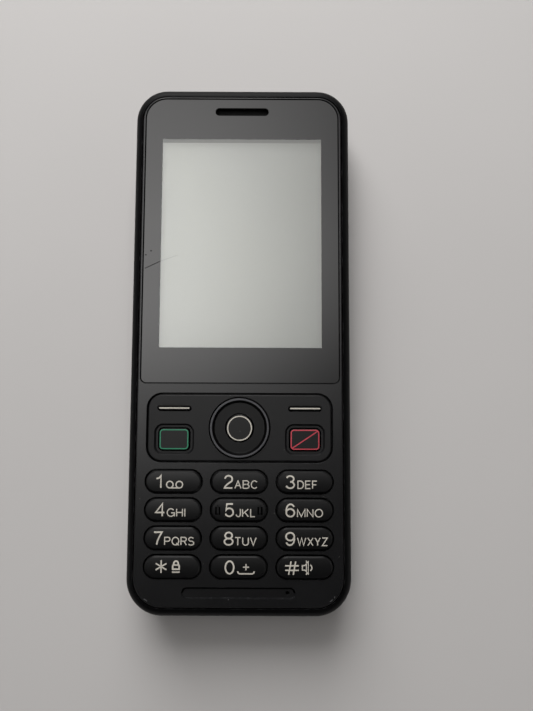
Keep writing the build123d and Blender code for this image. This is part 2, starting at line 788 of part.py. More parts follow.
# Number keys: crowned pills with a lip under the front cover
crown_radius = ((key_height / 2) ** 2 + key_crown**2) / (2 * key_crown)
nib_offset = key_width / 2 - nib_from_end
for name, spot in key_spots.items():
    with BuildPart() as key:
        with BuildSketch(Plane.XY.offset(key_z)):
            with Locations(spot):
                SlotOverall(key_width, key_height)
        extrude(amount=key_top_z - key_z)
        with BuildSketch(Plane.YZ):
            with Locations((spot[1], key_top_z - crown_radius)):
                Circle(crown_radius)
        extrude(amount=front_width, both=True, mode=Mode.INTERSECT)
        chamfer(key.edges().filter_by_position(Axis.Z, front_z, key_top_z), key_edge_bevel)
        with BuildSketch(Plane.XY.offset(key_z)):
            with Locations(spot):
                SlotOverall(key_width + 2 * key_lip, key_height + 2 * key_lip)
        extrude(amount=key_lip_thickness)
        if name == "key_5":
            with BuildSketch(Plane.XY.offset(key_lip_top_z)):
                with Locations(*[(spot[0] + side * nib_offset, spot[1]) for side in (-1, 1)]):
                    SlotOverall(nib_length, nib_width, rotation=90)
            extrude(amount=key_top_z - key_lip_top_z + nib_rise)
    save(key, name)

# Rubber mat, switch domes and key lights
with BuildPart() as keypad_mat:
    with BuildSketch(Plane.XY.offset(mat_z)):
        with Locations((0, mat_y)):
            RectangleRounded(mat_width, mat_length, mat_rim)
    extrude(amount=mat_thickness)
    with BuildSketch(Plane.XY.offset(film_top_z)):
        with Locations((0, mat_y)):
            RectangleRounded(mat_width, mat_length, mat_rim)
            Rectangle(mat_width - 2 * mat_rim, mat_length - 2 * mat_rim, mode=Mode.SUBTRACT)
    extrude(amount=mat_z - film_top_z)
    with BuildSketch(Plane.XY.offset(film_top_z + dome_height + plunger_play)):
        with Locations(*dome_spots):
            RegularPolygon(plunger_radius, dome_sides)
    extrude(amount=plunger_height - plunger_play)
    with BuildSketch(Plane.XY.offset(mat_top_z)):
        with Locations(*key_spots.values()):
            SlotOverall(key_width - 2 * boss_inset, key_height - 2 * boss_inset)
    extrude(amount=key_z - key_travel - press_margin - mat_top_z)
    with BuildSketch(Plane.XY.offset(mat_top_z)):
        with Locations(*cap_spots.values()):
            RectangleRounded(cap_width - 2 * boss_inset, cap_height - 2 * boss_inset, boss_corner_radius)
        with Locations((0, plate_y)):
            Circle(ok_radius - boss_inset)
    extrude(amount=press_margin)
    with BuildSketch(Plane.XY.offset(mat_top_z)):
        with Locations(*nav_side_spots):
            Rectangle(rocker_width / 2, rocker_pivot_width)
    extrude(amount=rocker_pivot_height - pivot_play)
save(keypad_mat, "keypad_mat")

with BuildPart() as dome_sheet:
    with BuildSketch(Plane.XY.offset(board_top_z)):
        with Locations((0, mat_y)):
            RectangleRounded(mat_width, mat_length, mat_rim)
        with Locations(*light_spots):
            Rectangle(light_length + 2 * part_fit, light_width + 2 * part_fit, mode=Mode.SUBTRACT)
    extrude(amount=film_thickness)
    for spot in dome_spots:
        with BuildSketch(Plane.XY.offset(film_top_z)):
            with Locations(spot):
                RegularPolygon(dome_radius, dome_sides)
        with BuildSketch(Plane.XY.offset(film_top_z + dome_height)):
            with Locations(spot):
                RegularPolygon(dome_top_radius, dome_sides)
        loft()
save(dome_sheet, "dome_sheet")

with BuildPart() as keypad_lights:
    with BuildSketch(Plane.XY.offset(board_top_z)):
        with Locations(*light_spots):
            Rectangle(light_length, light_width)
    extrude(amount=light_height)
save(keypad_lights, "keypad_lights")

# Main board and the pieces soldered to its back
with BuildPart() as main_board:
    extrude(draw_front(board_z, skirt_wall + board_fit), amount=board_thickness)
    with BuildSketch(Plane.XY.offset(board_z)):
        with Locations(*screw_spots):
            Circle(boss_radius + board_fit)
        with Locations((jack_side_offset, front_length / 2)):
            Rectangle(jack_width + 2 * board_fit, 2 * board_notch_depth)
    extrude(amount=board_thickness, mode=Mode.SUBTRACT)
save(main_board, "main_board")

with BuildPart() as shield_cans:
    with BuildSketch(Plane.XY.offset(board_z - can_height)):
        with Locations(large_can_spot):
            RectangleRounded(large_can_width, large_can_length, can_radius)
        with Locations(small_can_spot):
            RectangleRounded(small_can_width, sim_length, can_radius)
    extrude(amount=can_height)
save(shield_cans, "shield_cans")

with BuildPart() as sim_holder:
    with BuildSketch(Plane.XY.offset(board_z - sim_height)):
        with Locations(sim_spot):
            Rectangle(sim_width, sim_length)
    extrude(amount=sim_height)
    with BuildSketch(Plane.XY.offset(board_z - sim_height + sim_wall)):
        with Locations((sim_spot[0], sim_spot[1] - sim_wall)):
            Rectangle(sim_width - 2 * sim_wall, sim_length)
    extrude(amount=sim_height - sim_wall, mode=Mode.SUBTRACT)
save(sim_holder, "sim_holder")

with BuildPart() as contact_block:
    with BuildSketch(Plane.XY.offset(board_z - contact_drop)):
        with Locations((0, contact_face_y + contact_depth / 2)):
            Rectangle(contact_length, contact_depth)
    extrude(amount=contact_drop)
save(contact_block, "contact_block")

with BuildPart() as contact_springs:
    with BuildSketch(Plane.XY.offset(battery_middle_z - contact_height / 2)):
        with Locations((0, (contact_face_y + battery_end_y) / 2)):
            with GridLocations(contact_pitch, 0, 3, 1):
                Rectangle(contact_width, contact_face_y - battery_end_y)
    extrude(amount=contact_height)
save(contact_springs, "contact_springs")

# Battery and the screws that hold the halves together
with BuildPart() as battery:
    with BuildSketch(Plane.XY.offset(bay_z)):
        with Locations((0, bay_y)):
            RectangleRounded(battery_width, bay_length - 2 * battery_fit, battery_radius)
    extrude(amount=battery_thickness)
save(battery, "battery")

with BuildPart() as case_screws:
    with BuildSketch(Plane.XY.offset(screw_seat_z - screw_head_height)):
        with Locations(*screw_spots):
            Circle(screw_head_radius)
    extrude(amount=screw_head_height)
    with BuildSketch(Plane.XY.offset(screw_seat_z)):
        with Locations(*screw_spots):
            Circle(screw_radius)
    extrude(amount=screw_length)
save(case_screws, "case_screws")

# Pieces in the top chamber
with BuildPart() as speaker_mesh:
    with BuildSketch(Plane.XY.offset(chamber_z)):
        with Locations(speaker_spot):
            RectangleRounded(speaker_length, speaker_width, speaker_radius)
    extrude(amount=mesh_thickness)
save(speaker_mesh, "speaker_mesh")

with BuildPart() as loudspeaker:
    with BuildSketch(Plane.XY.offset(chamber_z + mesh_thickness)):
        with Locations(speaker_spot):
            RectangleRounded(speaker_length, speaker_width, speaker_radius)
    extrude(amount=speaker_height)
save(loudspeaker, "loudspeaker")

with BuildPart() as camera_module:
    with BuildSketch(Plane.XY.offset(chamber_z)):
        with Locations(camera_spot):
            Rectangle(camera_width, camera_width)
    extrude(amount=camera_height)
    with BuildSketch(Plane.XY.offset(bay_z)):
        with Locations(camera_spot):
            Circle(lens_radius)
    extrude(amount=rear_wall)
save(camera_module, "camera_module")

with BuildPart() as vibration_motor:
    with BuildSketch(motor_plane):
        Circle(motor_radius)
    extrude(amount=motor_length / 2, both=True)
save(vibration_motor, "vibration_motor")

with BuildPart() as motor_weight:
    with BuildSketch(motor_plane.offset(motor_length / 2 + weight_gap)):
        Circle(motor_radius)
        with Locations((0, shaft_radius)):
            Rectangle(2 * motor_radius, motor_radius, align=(Align.CENTER, Align.MIN), mode=Mode.SUBTRACT)
        Circle(2 * shaft_radius)
    extrude(amount=weight_length)
    with BuildSketch(motor_plane.offset(motor_length / 2 + press_margin)):
        Circle(shaft_radius)
    extrude(amount=weight_gap - press_margin)
save(motor_weight, "motor_weight")

with BuildPart() as audio_jack:
    with BuildSketch(jack_plane):
        Rectangle(jack_width, jack_height)
    extrude(amount=-jack_body_length)
    with BuildSketch(jack_plane):
        Circle(jack_nose_radius)
    extrude(amount=jack_nose_end_y - jack_body_end_y)
    with BuildSketch(jack_plane.offset(jack_end_wall - jack_body_length)):
        Circle(jack_radius)
    extrude(amount=jack_nose_end_y - jack_body_end_y + jack_body_length - jack_end_wall, mode=Mode.SUBTRACT)
save(audio_jack, "audio_jack")

# Pieces at the bottom end
with BuildPart() as usb_socket:
    with BuildSketch(usb_plane) as shell:
        Rectangle(usb_width, usb_height)
        chamfer(shell.vertices().group_by(Axis.Y)[0], usb_corner)
    extrude(amount=-usb_length)
    with BuildSketch(usb_plane) as mouth:
        Rectangle(usb_width - 2 * usb_wall, usb_height - 2 * usb_wall)
        chamfer(mouth.vertices().group_by(Axis.Y)[0], usb_corner)
    extrude(amount=usb_back_wall - usb_length, mode=Mode.SUBTRACT)
save(usb_socket, "usb_socket")

with BuildPart() as usb_tongue:
    with BuildSketch(usb_plane.offset(usb_back_wall - usb_length)):
        Rectangle(usb_tongue_width, usb_tongue_thickness)
    extrude(amount=usb_tongue_length)
save(usb_tongue, "usb_tongue")

with BuildPart() as microphone:
    with BuildSketch(Plane.XY.offset(board_top_z)):
        with Locations(mic_spot):
            Circle(mic_radius)
    extrude(amount=mic_height)
save(microphone, "microphone")

with BuildPart() as mic_boot:
    with BuildSketch(Plane.XY.offset(board_top_z + mic_height)):
        with Locations(mic_spot):
            Circle(mic_radius)
            Circle(mic_hole_radius, mode=Mode.SUBTRACT)
    extrude(amount=face_under_z - board_top_z - mic_height)
save(mic_boot, "mic_boot")

with BuildPart() as antenna:
    with BuildSketch(Plane.XY.offset(chamber_z)):
        with Locations((0, -chamber_end_y + bottom_chamber_length / 2)):
            RectangleRounded(antenna_length, antenna_width, antenna_radius)
    extrude(amount=antenna_thickness)
save(antenna, "antenna")
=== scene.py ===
"""Blender add-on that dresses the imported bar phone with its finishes, printed marks and a small studio.

Pieces are in metres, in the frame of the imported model: X across the face, Y to the earpiece, Z out of it.
"""

import json
import math
from collections import namedtuple

import bmesh
import bpy
from bpy.props import FloatProperty, FloatVectorProperty, PointerProperty
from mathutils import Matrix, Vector
from mathutils.bvhtree import BVHTree

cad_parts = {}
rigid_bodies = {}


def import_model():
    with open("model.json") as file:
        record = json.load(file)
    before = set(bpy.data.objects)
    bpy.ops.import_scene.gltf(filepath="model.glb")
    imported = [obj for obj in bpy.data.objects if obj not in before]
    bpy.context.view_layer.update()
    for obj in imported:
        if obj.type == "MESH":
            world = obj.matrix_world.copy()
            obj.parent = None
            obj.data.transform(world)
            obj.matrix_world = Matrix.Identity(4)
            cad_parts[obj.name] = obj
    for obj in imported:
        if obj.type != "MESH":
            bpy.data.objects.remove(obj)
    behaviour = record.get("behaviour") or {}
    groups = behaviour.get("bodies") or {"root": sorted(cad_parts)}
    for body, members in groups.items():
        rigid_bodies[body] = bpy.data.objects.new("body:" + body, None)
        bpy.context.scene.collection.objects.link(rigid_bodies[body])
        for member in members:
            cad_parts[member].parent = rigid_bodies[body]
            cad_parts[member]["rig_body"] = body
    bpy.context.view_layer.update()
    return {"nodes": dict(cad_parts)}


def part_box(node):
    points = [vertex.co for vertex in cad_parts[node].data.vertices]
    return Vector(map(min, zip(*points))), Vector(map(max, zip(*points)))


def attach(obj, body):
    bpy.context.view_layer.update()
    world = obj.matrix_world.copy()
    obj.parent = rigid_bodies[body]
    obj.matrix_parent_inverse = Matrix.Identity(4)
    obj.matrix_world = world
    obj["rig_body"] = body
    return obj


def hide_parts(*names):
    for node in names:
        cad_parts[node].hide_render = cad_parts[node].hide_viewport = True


bl_info = {
    "name": "Bar Phone Dress",
    "version": (1, 0, 0),
    "blender": (4, 5, 0),
    "location": "View3D > Sidebar > Phone",
    "description": "Finishes, key legends, painted marks and a studio for the packed bar phone",
    "category": "Object",
}

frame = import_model()

MM = 0.001
NUMBER_KEYS = [f"key_{digit}" for digit in range(1, 10)] + ["key_star", "key_0", "key_hash"]

# Sizes of the solids that the printed marks follow
KEY_LIP = 0.35 * MM
KEY_CLEARANCE = 0.28 * MM
NIB_FROM_END = 1.45 * MM
GROOVE_LENGTH = 25.2 * MM
GROOVE_WIDTH = 2.45 * MM

# Rows that a drawing is cut into before it is laid on a face: round, nearly flat or flat
FINE_ROW = 0.25 * MM
WIDE_ROW = 2 * MM
ONE_ROW = 100 * MM

# Where nearly all of a noise value lies
NOISE_LOW = 0.3
NOISE_HIGH = 0.7

# One printed key: its sign and what stands beside it, with places and widths in millimetres
Legend = namedtuple("Legend", "sign left sign_width gap beside beside_width")
LEGENDS = {
    "key_1": Legend("1", -3.95, 1.35, 0.95, "voicemail", 3.85),
    "key_2": Legend("2", -3.40, 2.10, 0.28, "ABC", 5.20),
    "key_3": Legend("3", -4.30, 2.15, 0.50, "DEF", 4.45),
    "key_4": Legend("4", -3.97, 2.25, 0.36, "GHI", 4.20),
    "key_5": Legend("5", -3.17, 2.15, 0.32, "JKL", 4.40),
    "key_6": Legend("6", -4.30, 2.15, 0.40, "MNO", 5.80),
    "key_7": Legend("7", -4.27, 2.10, 0.34, "PQRS", 6.70),
    "key_8": Legend("8", -3.31, 2.20, 0.20, "TUV", 4.90),
    "key_9": Legend("9", -4.35, 2.20, 0.40, "WXYZ", 6.85),
    "key_star": Legend("star", -3.63, 2.50, 1.18, "padlock", 1.70),
    "key_0": Legend("0", -3.05, 2.20, 0.55, "space", 3.95),
    "key_hash": Legend("hash", -4.34, 3.00, 0.78, "muted", 2.20),
}


# Letters and digits as strokes in a box of one by one, from left to right and from the baseline up


def bow(x, y, across, up, start, end, steps=14):
    """Return points along part of an oval, in degrees."""
    angles = [math.radians(start + (end - start) * i / steps) for i in range(steps + 1)]
    return [(x + across * math.cos(angle), y + up * math.sin(angle)) for angle in angles]


def oval(x, y, across, up):
    """Return a closed oval."""
    points = bow(x, y, across, up, 0, 360, 24)
    return points[:-1] + points[:1]


GLYPHS = {
    "A": [[(0, 0), (0.5, 1), (1, 0)], [(0.19, 0.36), (0.81, 0.36)]],
    "B": [
        [(0, 0), (0, 1), *bow(0.55, 0.76, 0.37, 0.24, 90, -90), (0, 0.52)],
        [(0.5, 0.52), *bow(0.58, 0.26, 0.42, 0.26, 90, -90), (0, 0)],
    ],
    "C": [bow(0.52, 0.5, 0.52, 0.5, 40, 320, 20)],
    "D": [[(0, 0), (0, 1), *bow(0.42, 0.5, 0.58, 0.5, 90, -90), (0, 0)]],
    "E": [[(1, 1), (0, 1), (0, 0), (1, 0)], [(0, 0.52), (0.9, 0.52)]],
    "F": [[(1, 1), (0, 1), (0, 0)], [(0, 0.5), (0.85, 0.5)]],
    "G": [bow(0.5, 0.5, 0.5, 0.5, 42, 330, 20), [(0.55, 0.46), (1, 0.46), (1, 0)]],
    "H": [[(0, 0), (0, 1)], [(1, 0), (1, 1)], [(0, 0.52), (1, 0.52)]],
    "I": [[(0.5, 0), (0.5, 1)]],
    "J": [[(1, 1), *bow(0.5, 0.3, 0.5, 0.3, 0, -175)]],
    "K": [[(0, 0), (0, 1)], [(0.97, 1), (0, 0.34)], [(0.36, 0.6), (1, 0)]],
    "L": [[(0, 1), (0, 0), (1, 0)]],
    "M": [[(0, 0), (0, 1), (0.5, 0.06), (1, 1), (1, 0)]],
    "N": [[(0, 0), (0, 1), (1, 0), (1, 1)]],
    "O": [oval(0.5, 0.5, 0.5, 0.5)],
    "P": [[(0, 0), (0, 1), *bow(0.58, 0.74, 0.42, 0.26, 90, -90), (0, 0.48)]],
    "Q": [oval(0.5, 0.5, 0.5, 0.5), [(0.62, 0.26), (1, -0.04)]],
    "R": [[(0, 0), (0, 1), *bow(0.58, 0.75, 0.42, 0.25, 90, -90), (0, 0.5)], [(0.58, 0.5), (1, 0)]],
    "S": [bow(0.5, 0.75, 0.45, 0.25, 25, 270) + bow(0.5, 0.25, 0.5, 0.25, 90, -155)[1:]],
    "T": [[(0, 1), (1, 1)], [(0.5, 1), (0.5, 0)]],
    "U": [[(0, 1), *bow(0.5, 0.36, 0.5, 0.36, 180, 360), (1, 1)]],
    "V": [[(0, 1), (0.5, 0), (1, 1)]],
    "W": [[(0, 1), (0.26, 0), (0.5, 1), (0.74, 0), (1, 1)]],
    "X": [[(0, 0), (1, 1)], [(0, 1), (1, 0)]],
    "Y": [[(0, 1), (0.5, 0.44), (1, 1)], [(0.5, 0.44), (0.5, 0)]],
    "Z": [[(0, 1), (1, 1), (0, 0), (1, 0)]],
    "0": [oval(0.5, 0.5, 0.5, 0.5)],
    "1": [[(0, 0.74), (0.5, 0.78), (0.8, 0.87), (1, 1), (1, 0)]],
    "2": [[*bow(0.5, 0.72, 0.47, 0.28, 172, -38), (0.3, 0.28), (0.08, 0.12), (0, 0), (1, 0)]],
    "3": [bow(0.48, 0.755, 0.44, 0.245, 160, -90), bow(0.48, 0.265, 0.5, 0.265, 90, -165)],
    "4": [[(0.76, 0), (0.76, 1), (0, 0.29), (1, 0.29)]],
    "5": [[(0.93, 1), (0.18, 1), (0.07, 0.47), *bow(0.48, 0.33, 0.5, 0.33, 130, -160)]],
    "6": [bow(0.53, 0.5, 0.53, 0.5, 35, 200), oval(0.5, 0.31, 0.5, 0.31)],
    "7": [[(0, 1), (1, 1), (0.62, 0.55), (0.44, 0.25), (0.36, 0)]],
    "8": [oval(0.5, 0.755, 0.42, 0.245), oval(0.5, 0.265, 0.5, 0.265)],
    "9": [bow(0.47, 0.5, 0.53, 0.5, 20, -145), oval(0.5, 0.69, 0.5, 0.31)],
}
PLAIN_LETTER_WIDTH = 0.74
LETTER_WIDTHS = {
    "E": 0.66,
    "F": 0.60,
    "G": 0.88,
    "I": 0.17,
    "J": 0.56,
    "L": 0.58,
    "M": 0.92,
    "O": 0.90,
    "Q": 0.90,
    "W": 1.12,
}


# Properties that a user would change


def colour_property(name, description, default):
    """Return a colour property with three channels."""
    return FloatVectorProperty(
        name=name, description=description, subtype="COLOR", size=3, min=0.0, max=1.0, default=default
    )


def length_property(name, description, default):
    """Return a length property in metres."""
    settings = {"unit": "LENGTH", "precision": 5, "min": 0.0}
    return FloatProperty(name=name, description=description, default=default, **settings)


def number_property(name, description, default, subtype="NONE"):
    """Return a number property."""
    return FloatProperty(name=name, description=description, subtype=subtype, default=default)


class PhoneColours(bpy.types.PropertyGroup):
    """Colours of the visible finishes."""

    panel: colour_property("Panel", "Moulded front panel and function plate", (0.0060, 0.0060, 0.0064))
    band: colour_property("Band", "Band round the face and the back cover", (0.0024, 0.0024, 0.0026))
    keys: colour_property("Keys", "Number keys and the navigation ring", (0.0026, 0.0026, 0.0028))
    worn: colour_property("Worn edge", "Plastic rubbed pale along its edges", (0.10, 0.10, 0.105))
    legend: colour_property("Legend", "Paint of the signs and letters", (0.52, 0.49, 0.43))
    call: colour_property("Call", "Outline of the call key", (0.030, 0.20, 0.11))
    end: colour_property("End", "Outline and bar of the end key", (0.46, 0.050, 0.070))
    # This colour also glows from the display as painted light.
    display: colour_property("Display", "Pale face of the idle display", (0.36, 0.365, 0.345))
    floor: colour_property("Floor", "Plain pale floor", (0.52, 0.505, 0.495))


class PhonePrint(bpy.types.PropertyGroup):
    """Sizes of the printed marks."""

    sign_height: length_property("Sign height", "Height of a digit", 3.05 * MM)
    letter_height: length_property("Letter height", "Height of the capitals beside a digit", 1.90 * MM)
    baseline_drop: length_property("Baseline drop", "Depth of the baseline under a key's middle", 1.50 * MM)
    line_width: length_property("Line width", "Width of the lines in the signs", 0.35 * MM)
    outline_width: length_property("Outline width", "Width of the painted outlines", 0.25 * MM)
    paint_lift: length_property("Paint lift", "Height of the paint over the plastic", 0.012 * MM)


class PhoneStudio(bpy.types.PropertyGroup):
    """Camera and light."""

    lens: number_property("Lens", "Focal length of the camera in millimetres", 27.04)
    tilt: number_property("Tilt", "Lean of the camera to the earpiece", math.radians(4.404), "ANGLE")
    turn: number_property("Turn", "Turn of the camera about its view", math.radians(0.25), "ANGLE")
    place: FloatVectorProperty(
        name="Place",
        description="Where the camera stands",
        subtype="TRANSLATION",
        default=(0.00604, -0.0121, 0.1344),
    )
    overhead: number_property("Overhead", "Strength of the bright part overhead", 2.35)
    room: number_property("Room", "Strength of the rest of the room", 0.015)
    backdrop: number_property("Horizon", "Strength of the pale horizon", 0.60)
    lamp: number_property("Lamp", "Power of the lamp", 3.3, "POWER")


# Node helpers


def feed(target, value):
    """Link a socket to an input, or set the input to a constant."""
    if isinstance(value, bpy.types.NodeSocket):
        target.id_data.links.new(value, target)
    else:
        target.default_value = value


def put(tree, kind, inputs=None, **settings):
    """Add a node with its settings and inputs."""
    node = tree.nodes.new(kind)
    for name, value in settings.items():
        setattr(node, name, value)
    for name, value in (inputs or {}).items():
        feed(node.inputs[name], value)
    return node


def calculate(operation, *values):
    """Add a math node beside the first socket among its values, and return its result."""
    tree = next(value.id_data for value in values if isinstance(value, bpy.types.NodeSocket))
    return put(tree, "ShaderNodeMath", dict(enumerate(values)), operation=operation).outputs[0]


def spread(value, low, high, start=0.0, end=1.0):
    """Stretch a value from one span to another, clamped."""
    inputs = {"Value": value, "From Min": low, "From Max": high, "To Min": start, "To Max": end}
    return put(value.id_data, "ShaderNodeMapRange", inputs).outputs["Result"]


def ease(value, low, high):
    """Rise softly from zero at one value to one at the other."""
    inputs = {"Value": value, "From Min": low, "From Max": high}
    node = put(value.id_data, "ShaderNodeMapRange", inputs, interpolation_type="SMOOTHSTEP")
    return node.outputs["Result"]


def blend_colours(mask, first, second):
    """Mix two colours by a mask."""
    return put(mask.id_data, "ShaderNodeMix", {0: mask, 6: first, 7: second}, data_type="RGBA").outputs[2]


def paint(colour, gain=1.0):
    """Return a colour with an alpha channel, made lighter or darker by the gain."""
    return (*[channel * gain for channel in colour], 1.0)


def object_places(tree):
    """Return the coordinates of the surface in metres."""
    return put(tree, "ShaderNodeTexCoord").outputs["Object"]


def noise(tree, scale, detail=2.0, places=None):
    """Return a noise value over the surface."""
    inputs = {"Vector": places or object_places(tree), "Scale": scale, "Detail": detail}
    return put(tree, "ShaderNodeTexNoise", inputs).outputs[0]


def parts_of(vector):
    """Return the X, Y and Z of a vector."""
    return put(vector.id_data, "ShaderNodeSeparateXYZ", {0: vector}).outputs


def surface_normal(tree):
    """Return the direction that the surface looks in."""
    return put(tree, "ShaderNodeNewGeometry").outputs["Normal"]


def bands(tree, scale, direction):
    """Return a value that waves in bands along a direction."""
    inputs = {"Vector": object_places(tree), "Scale": scale}
    return put(tree, "ShaderNodeTexWave", inputs, wave_type="BANDS", bands_direction=direction).outputs[1]


# Shared effects as node groups


def new_group(name, effect, values):
    """Make a node group of an effect: its inputs are the values, and its outputs what the effect returns."""
    tree = bpy.data.node_groups.new(name, "ShaderNodeTree")
    for label, default in values.items():
        socket = tree.interface.new_socket(name=label, in_out="INPUT", socket_type="NodeSocketFloat")
        socket.default_value = default
    results = effect(tree, put(tree, "NodeGroupInput").outputs)
    for label in results:
        tree.interface.new_socket(name=label, in_out="OUTPUT", socket_type="NodeSocketFloat")
    put(tree, "NodeGroupOutput", results)
    return tree


def place_group(tree, effect, **values):
    """Put an effect in a material and return its outputs. Its first use makes its node group."""
    name = effect.__name__.replace("_", " ").title()
    group = bpy.data.node_groups.get(name) or new_group(name, effect, values)
    return put(tree, "ShaderNodeGroup", values, node_tree=group).outputs


def mould_grain(tree, inputs):
    """Fine grain of a mould, with slow patches of handling over it."""
    patch_scale = calculate("MULTIPLY", inputs["Scale"], 0.03)
    return {"Height": noise(tree, inputs["Scale"], 3.0), "Patches": noise(tree, patch_scale, 4.0)}


def rubbed_edges(tree, inputs):
    """Edges rubbed in patches, found by comparing the surface with a rounded one."""
    rounded = put(tree, "ShaderNodeBevel", {"Radius": inputs["Width"]}, samples=6).outputs[0]
    directions = {0: rounded, 1: surface_normal(tree)}
    same = put(tree, "ShaderNodeVectorMath", directions, operation="DOT_PRODUCT").outputs["Value"]
    patches = spread(noise(tree, 700.0, 5.0), calculate("SUBTRACT", 1.0, inputs["Reach"]), 0.80)
    return {"Mask": calculate("MULTIPLY", spread(same, 0.97, 0.75), patches)}


def dust_specks(tree, inputs):
    """Scattered specks of dust on faces that look up."""
    cells = put(tree, "ShaderNodeTexVoronoi", {"Vector": object_places(tree), "Scale": 900.0}).outputs
    near = calculate("LESS_THAN", cells["Distance"], 0.06)
    chance = put(tree, "ShaderNodeSeparateColor", {0: cells["Color"]}).outputs[0]
    speck = calculate("MULTIPLY", near, calculate("LESS_THAN", chance, inputs["Share"]))
    return {"Mask": calculate("MULTIPLY", speck, spread(parts_of(surface_normal(tree))["Z"], 0.5, 0.9))}


def level_faces(tree, inputs):
    """Faces that look up, and upright sides, as against the sloping walls of gaps and grooves."""
    rise = parts_of(surface_normal(tree))["Z"]
    upright = spread(calculate("ABSOLUTE", rise), inputs["Steep"], 0.10)
    return {"Level": spread(rise, inputs["Steep"], 0.92), "Upright": upright}


def brushed_lines(tree, inputs):
    """Fine lines of rolled or brushed metal, along Y."""
    stretched = put(tree, "ShaderNodeMapping", {"Vector": object_places(tree), "Scale": (1.0, 0.03, 1.0)})
    lines = noise(tree, inputs["Scale"], 3.0, stretched.outputs[0])
    return {"Height": lines, "Patches": noise(tree, 400.0, 3.0)}


def woven_threads(tree, inputs):
    """Two crossed rows of threads with holes between them."""
    threads = calculate("MAXIMUM", *[bands(tree, inputs["Scale"], direction) for direction in "XY"])
    return {"Height": threads, "Holes": spread(threads, 0.55, 0.35)}


# Materials


def new_material(name, constants=None):
    """Start a material with its even values, and return it with its node tree and its shader's sockets."""
    material = bpy.data.materials.new(name)
    material.use_nodes = True
    sockets = material.node_tree.nodes["Principled BSDF"].inputs
    for label, value in (constants or {}).items():
        sockets[label].default_value = value
    return material, material.node_tree, sockets


def set_colour(sockets, mask, colour, low, high):
    """Let the base colour drift between two gains, by a mask."""
    feed(sockets["Base Color"], blend_colours(mask, paint(colour, low), paint(colour, high)))


def set_roughness(sockets, value, low, high, start=NOISE_LOW, end=NOISE_HIGH):
    """Let the roughness drift between two values, while another value goes from start to end."""
    feed(sockets["Roughness"], spread(value, start, end, low, high))


def set_bump(sockets, height, depth, strength=0.5):
    """Let a height value shape the surface."""
    inputs = {"Strength": strength, "Distance": depth, "Height": height}
    feed(sockets["Normal"], put(height.id_data, "ShaderNodeBump", inputs).outputs[0])


def set_lacquer(tree, sockets, amount, roughness, sides=0.0):
    """Lay a thin lacquer on the faces that look up and some on upright sides, and leave it off sloping walls
    as painted shade, so that gaps and grooves stay dark.
    """
    faces = place_group(tree, level_faces, Steep=0.35)
    on_top = calculate("MULTIPLY", faces["Level"], amount)
    feed(sockets["Coat Weight"], calculate("MULTIPLY_ADD", faces["Upright"], sides, on_top))
    sockets["Coat IOR"].default_value = 1.6
    sockets["Coat Roughness"].default_value = roughness
    sockets["Specular IOR Level"].default_value = 0.04


def moulded_plastic(
    name, colour, roughness, shine=0.3, grain=6000.0, depth=0.003 * MM, lacquer=0.0, sides=0.0, worn=None
):
    """Moulded plastic with fine grain, rubbed edges and a few specks of dust."""
    material, tree, sockets = new_material(name, {"Specular IOR Level": shine})
    surface = place_group(tree, mould_grain, Scale=grain)
    wear = place_group(tree, rubbed_edges, Width=0.16 * MM, Reach=0.5)["Mask"]
    specks = calculate("MULTIPLY", place_group(tree, dust_specks, Share=0.12)["Mask"], 0.5)
    base = blend_colours(surface["Patches"], paint(colour, 0.75), paint(colour, 1.3))
    rubbed = blend_colours(wear, base, paint(worn or bpy.context.scene.phone_colours.worn))
    feed(sockets["Base Color"], blend_colours(specks, rubbed, paint((0.35, 0.34, 0.32))))
    set_roughness(sockets, surface["Patches"], roughness - 0.05, roughness + 0.05)
    if lacquer > 0.0:
        set_lacquer(tree, sockets, lacquer, roughness, sides)
    set_bump(sockets, surface["Height"], depth)
    return material


def dished_plastic(name, colour, worn, lacquer, dish, rim):
    """Plastic of a dished ring, duller in the dish, with painted shade on its sloping walls and a painted
    highlight along the smoother top of its rim.
    """
    material, tree, sockets = new_material(name)
    surface = place_group(tree, mould_grain, Scale=6000.0)
    wear = place_group(tree, rubbed_edges, Width=0.2 * MM, Reach=0.55)["Mask"]
    height = parts_of(object_places(tree))["Z"]
    above_dish = spread(height, dish + 0.02 * MM, dish + 0.10 * MM)
    polish_and_highlight = spread(height, rim - 0.05 * MM, rim - 0.005 * MM)
    # Painted shade: the sloping walls are given a quarter of the plastic's colour.
    wall = blend_colours(above_dish, paint(colour), paint(colour, 0.25))
    # Painted highlight: the top of the rim is given a colour 24 times as pale as the plastic.
    base = blend_colours(polish_and_highlight, wall, paint(colour, 24.0))
    feed(sockets["Base Color"], blend_colours(wear, base, paint(worn)))
    set_roughness(sockets, polish_and_highlight, 0.65, 0.30, 0.0, 1.0)
    # Painted shade: the lacquer is mostly left off the sloping walls, so they stay darker.
    on_wall = calculate("SUBTRACT", above_dish, polish_and_highlight)
    set_lacquer(tree, sockets, spread(on_wall, 0.0, 1.0, lacquer, 0.15 * lacquer), 0.42)
    set_bump(sockets, surface["Height"], 0.003 * MM)
    return material


def grained(name, colour, scale, low, high, constants=None):
    """Start a finish with a fine grain, whose colour drifts between two gains."""
    material, tree, sockets = new_material(name, constants)
    surface = place_group(tree, mould_grain, Scale=scale)
    set_colour(sockets, surface["Patches"], colour, low, high)
    return material, sockets, surface


def printed_paint(name, colour):
    """Thin printed paint, a little uneven and rubbed."""
    material, sockets, surface = grained(name, colour, 9000.0, 0.8, 1.15)
    set_roughness(sockets, surface["Height"], 0.42, 0.58)
    set_bump(sockets, surface["Height"], 0.003 * MM, 0.3)
    return material


def clear_glass(name, tint):
    """Clear hard plastic with a faint unevenness of its tint."""
    constants = {"Transmission Weight": 1.0, "IOR": 1.68, "Roughness": 0.0}
    return grained(name, tint, 3000.0, 0.97, 1.0, constants)[0]


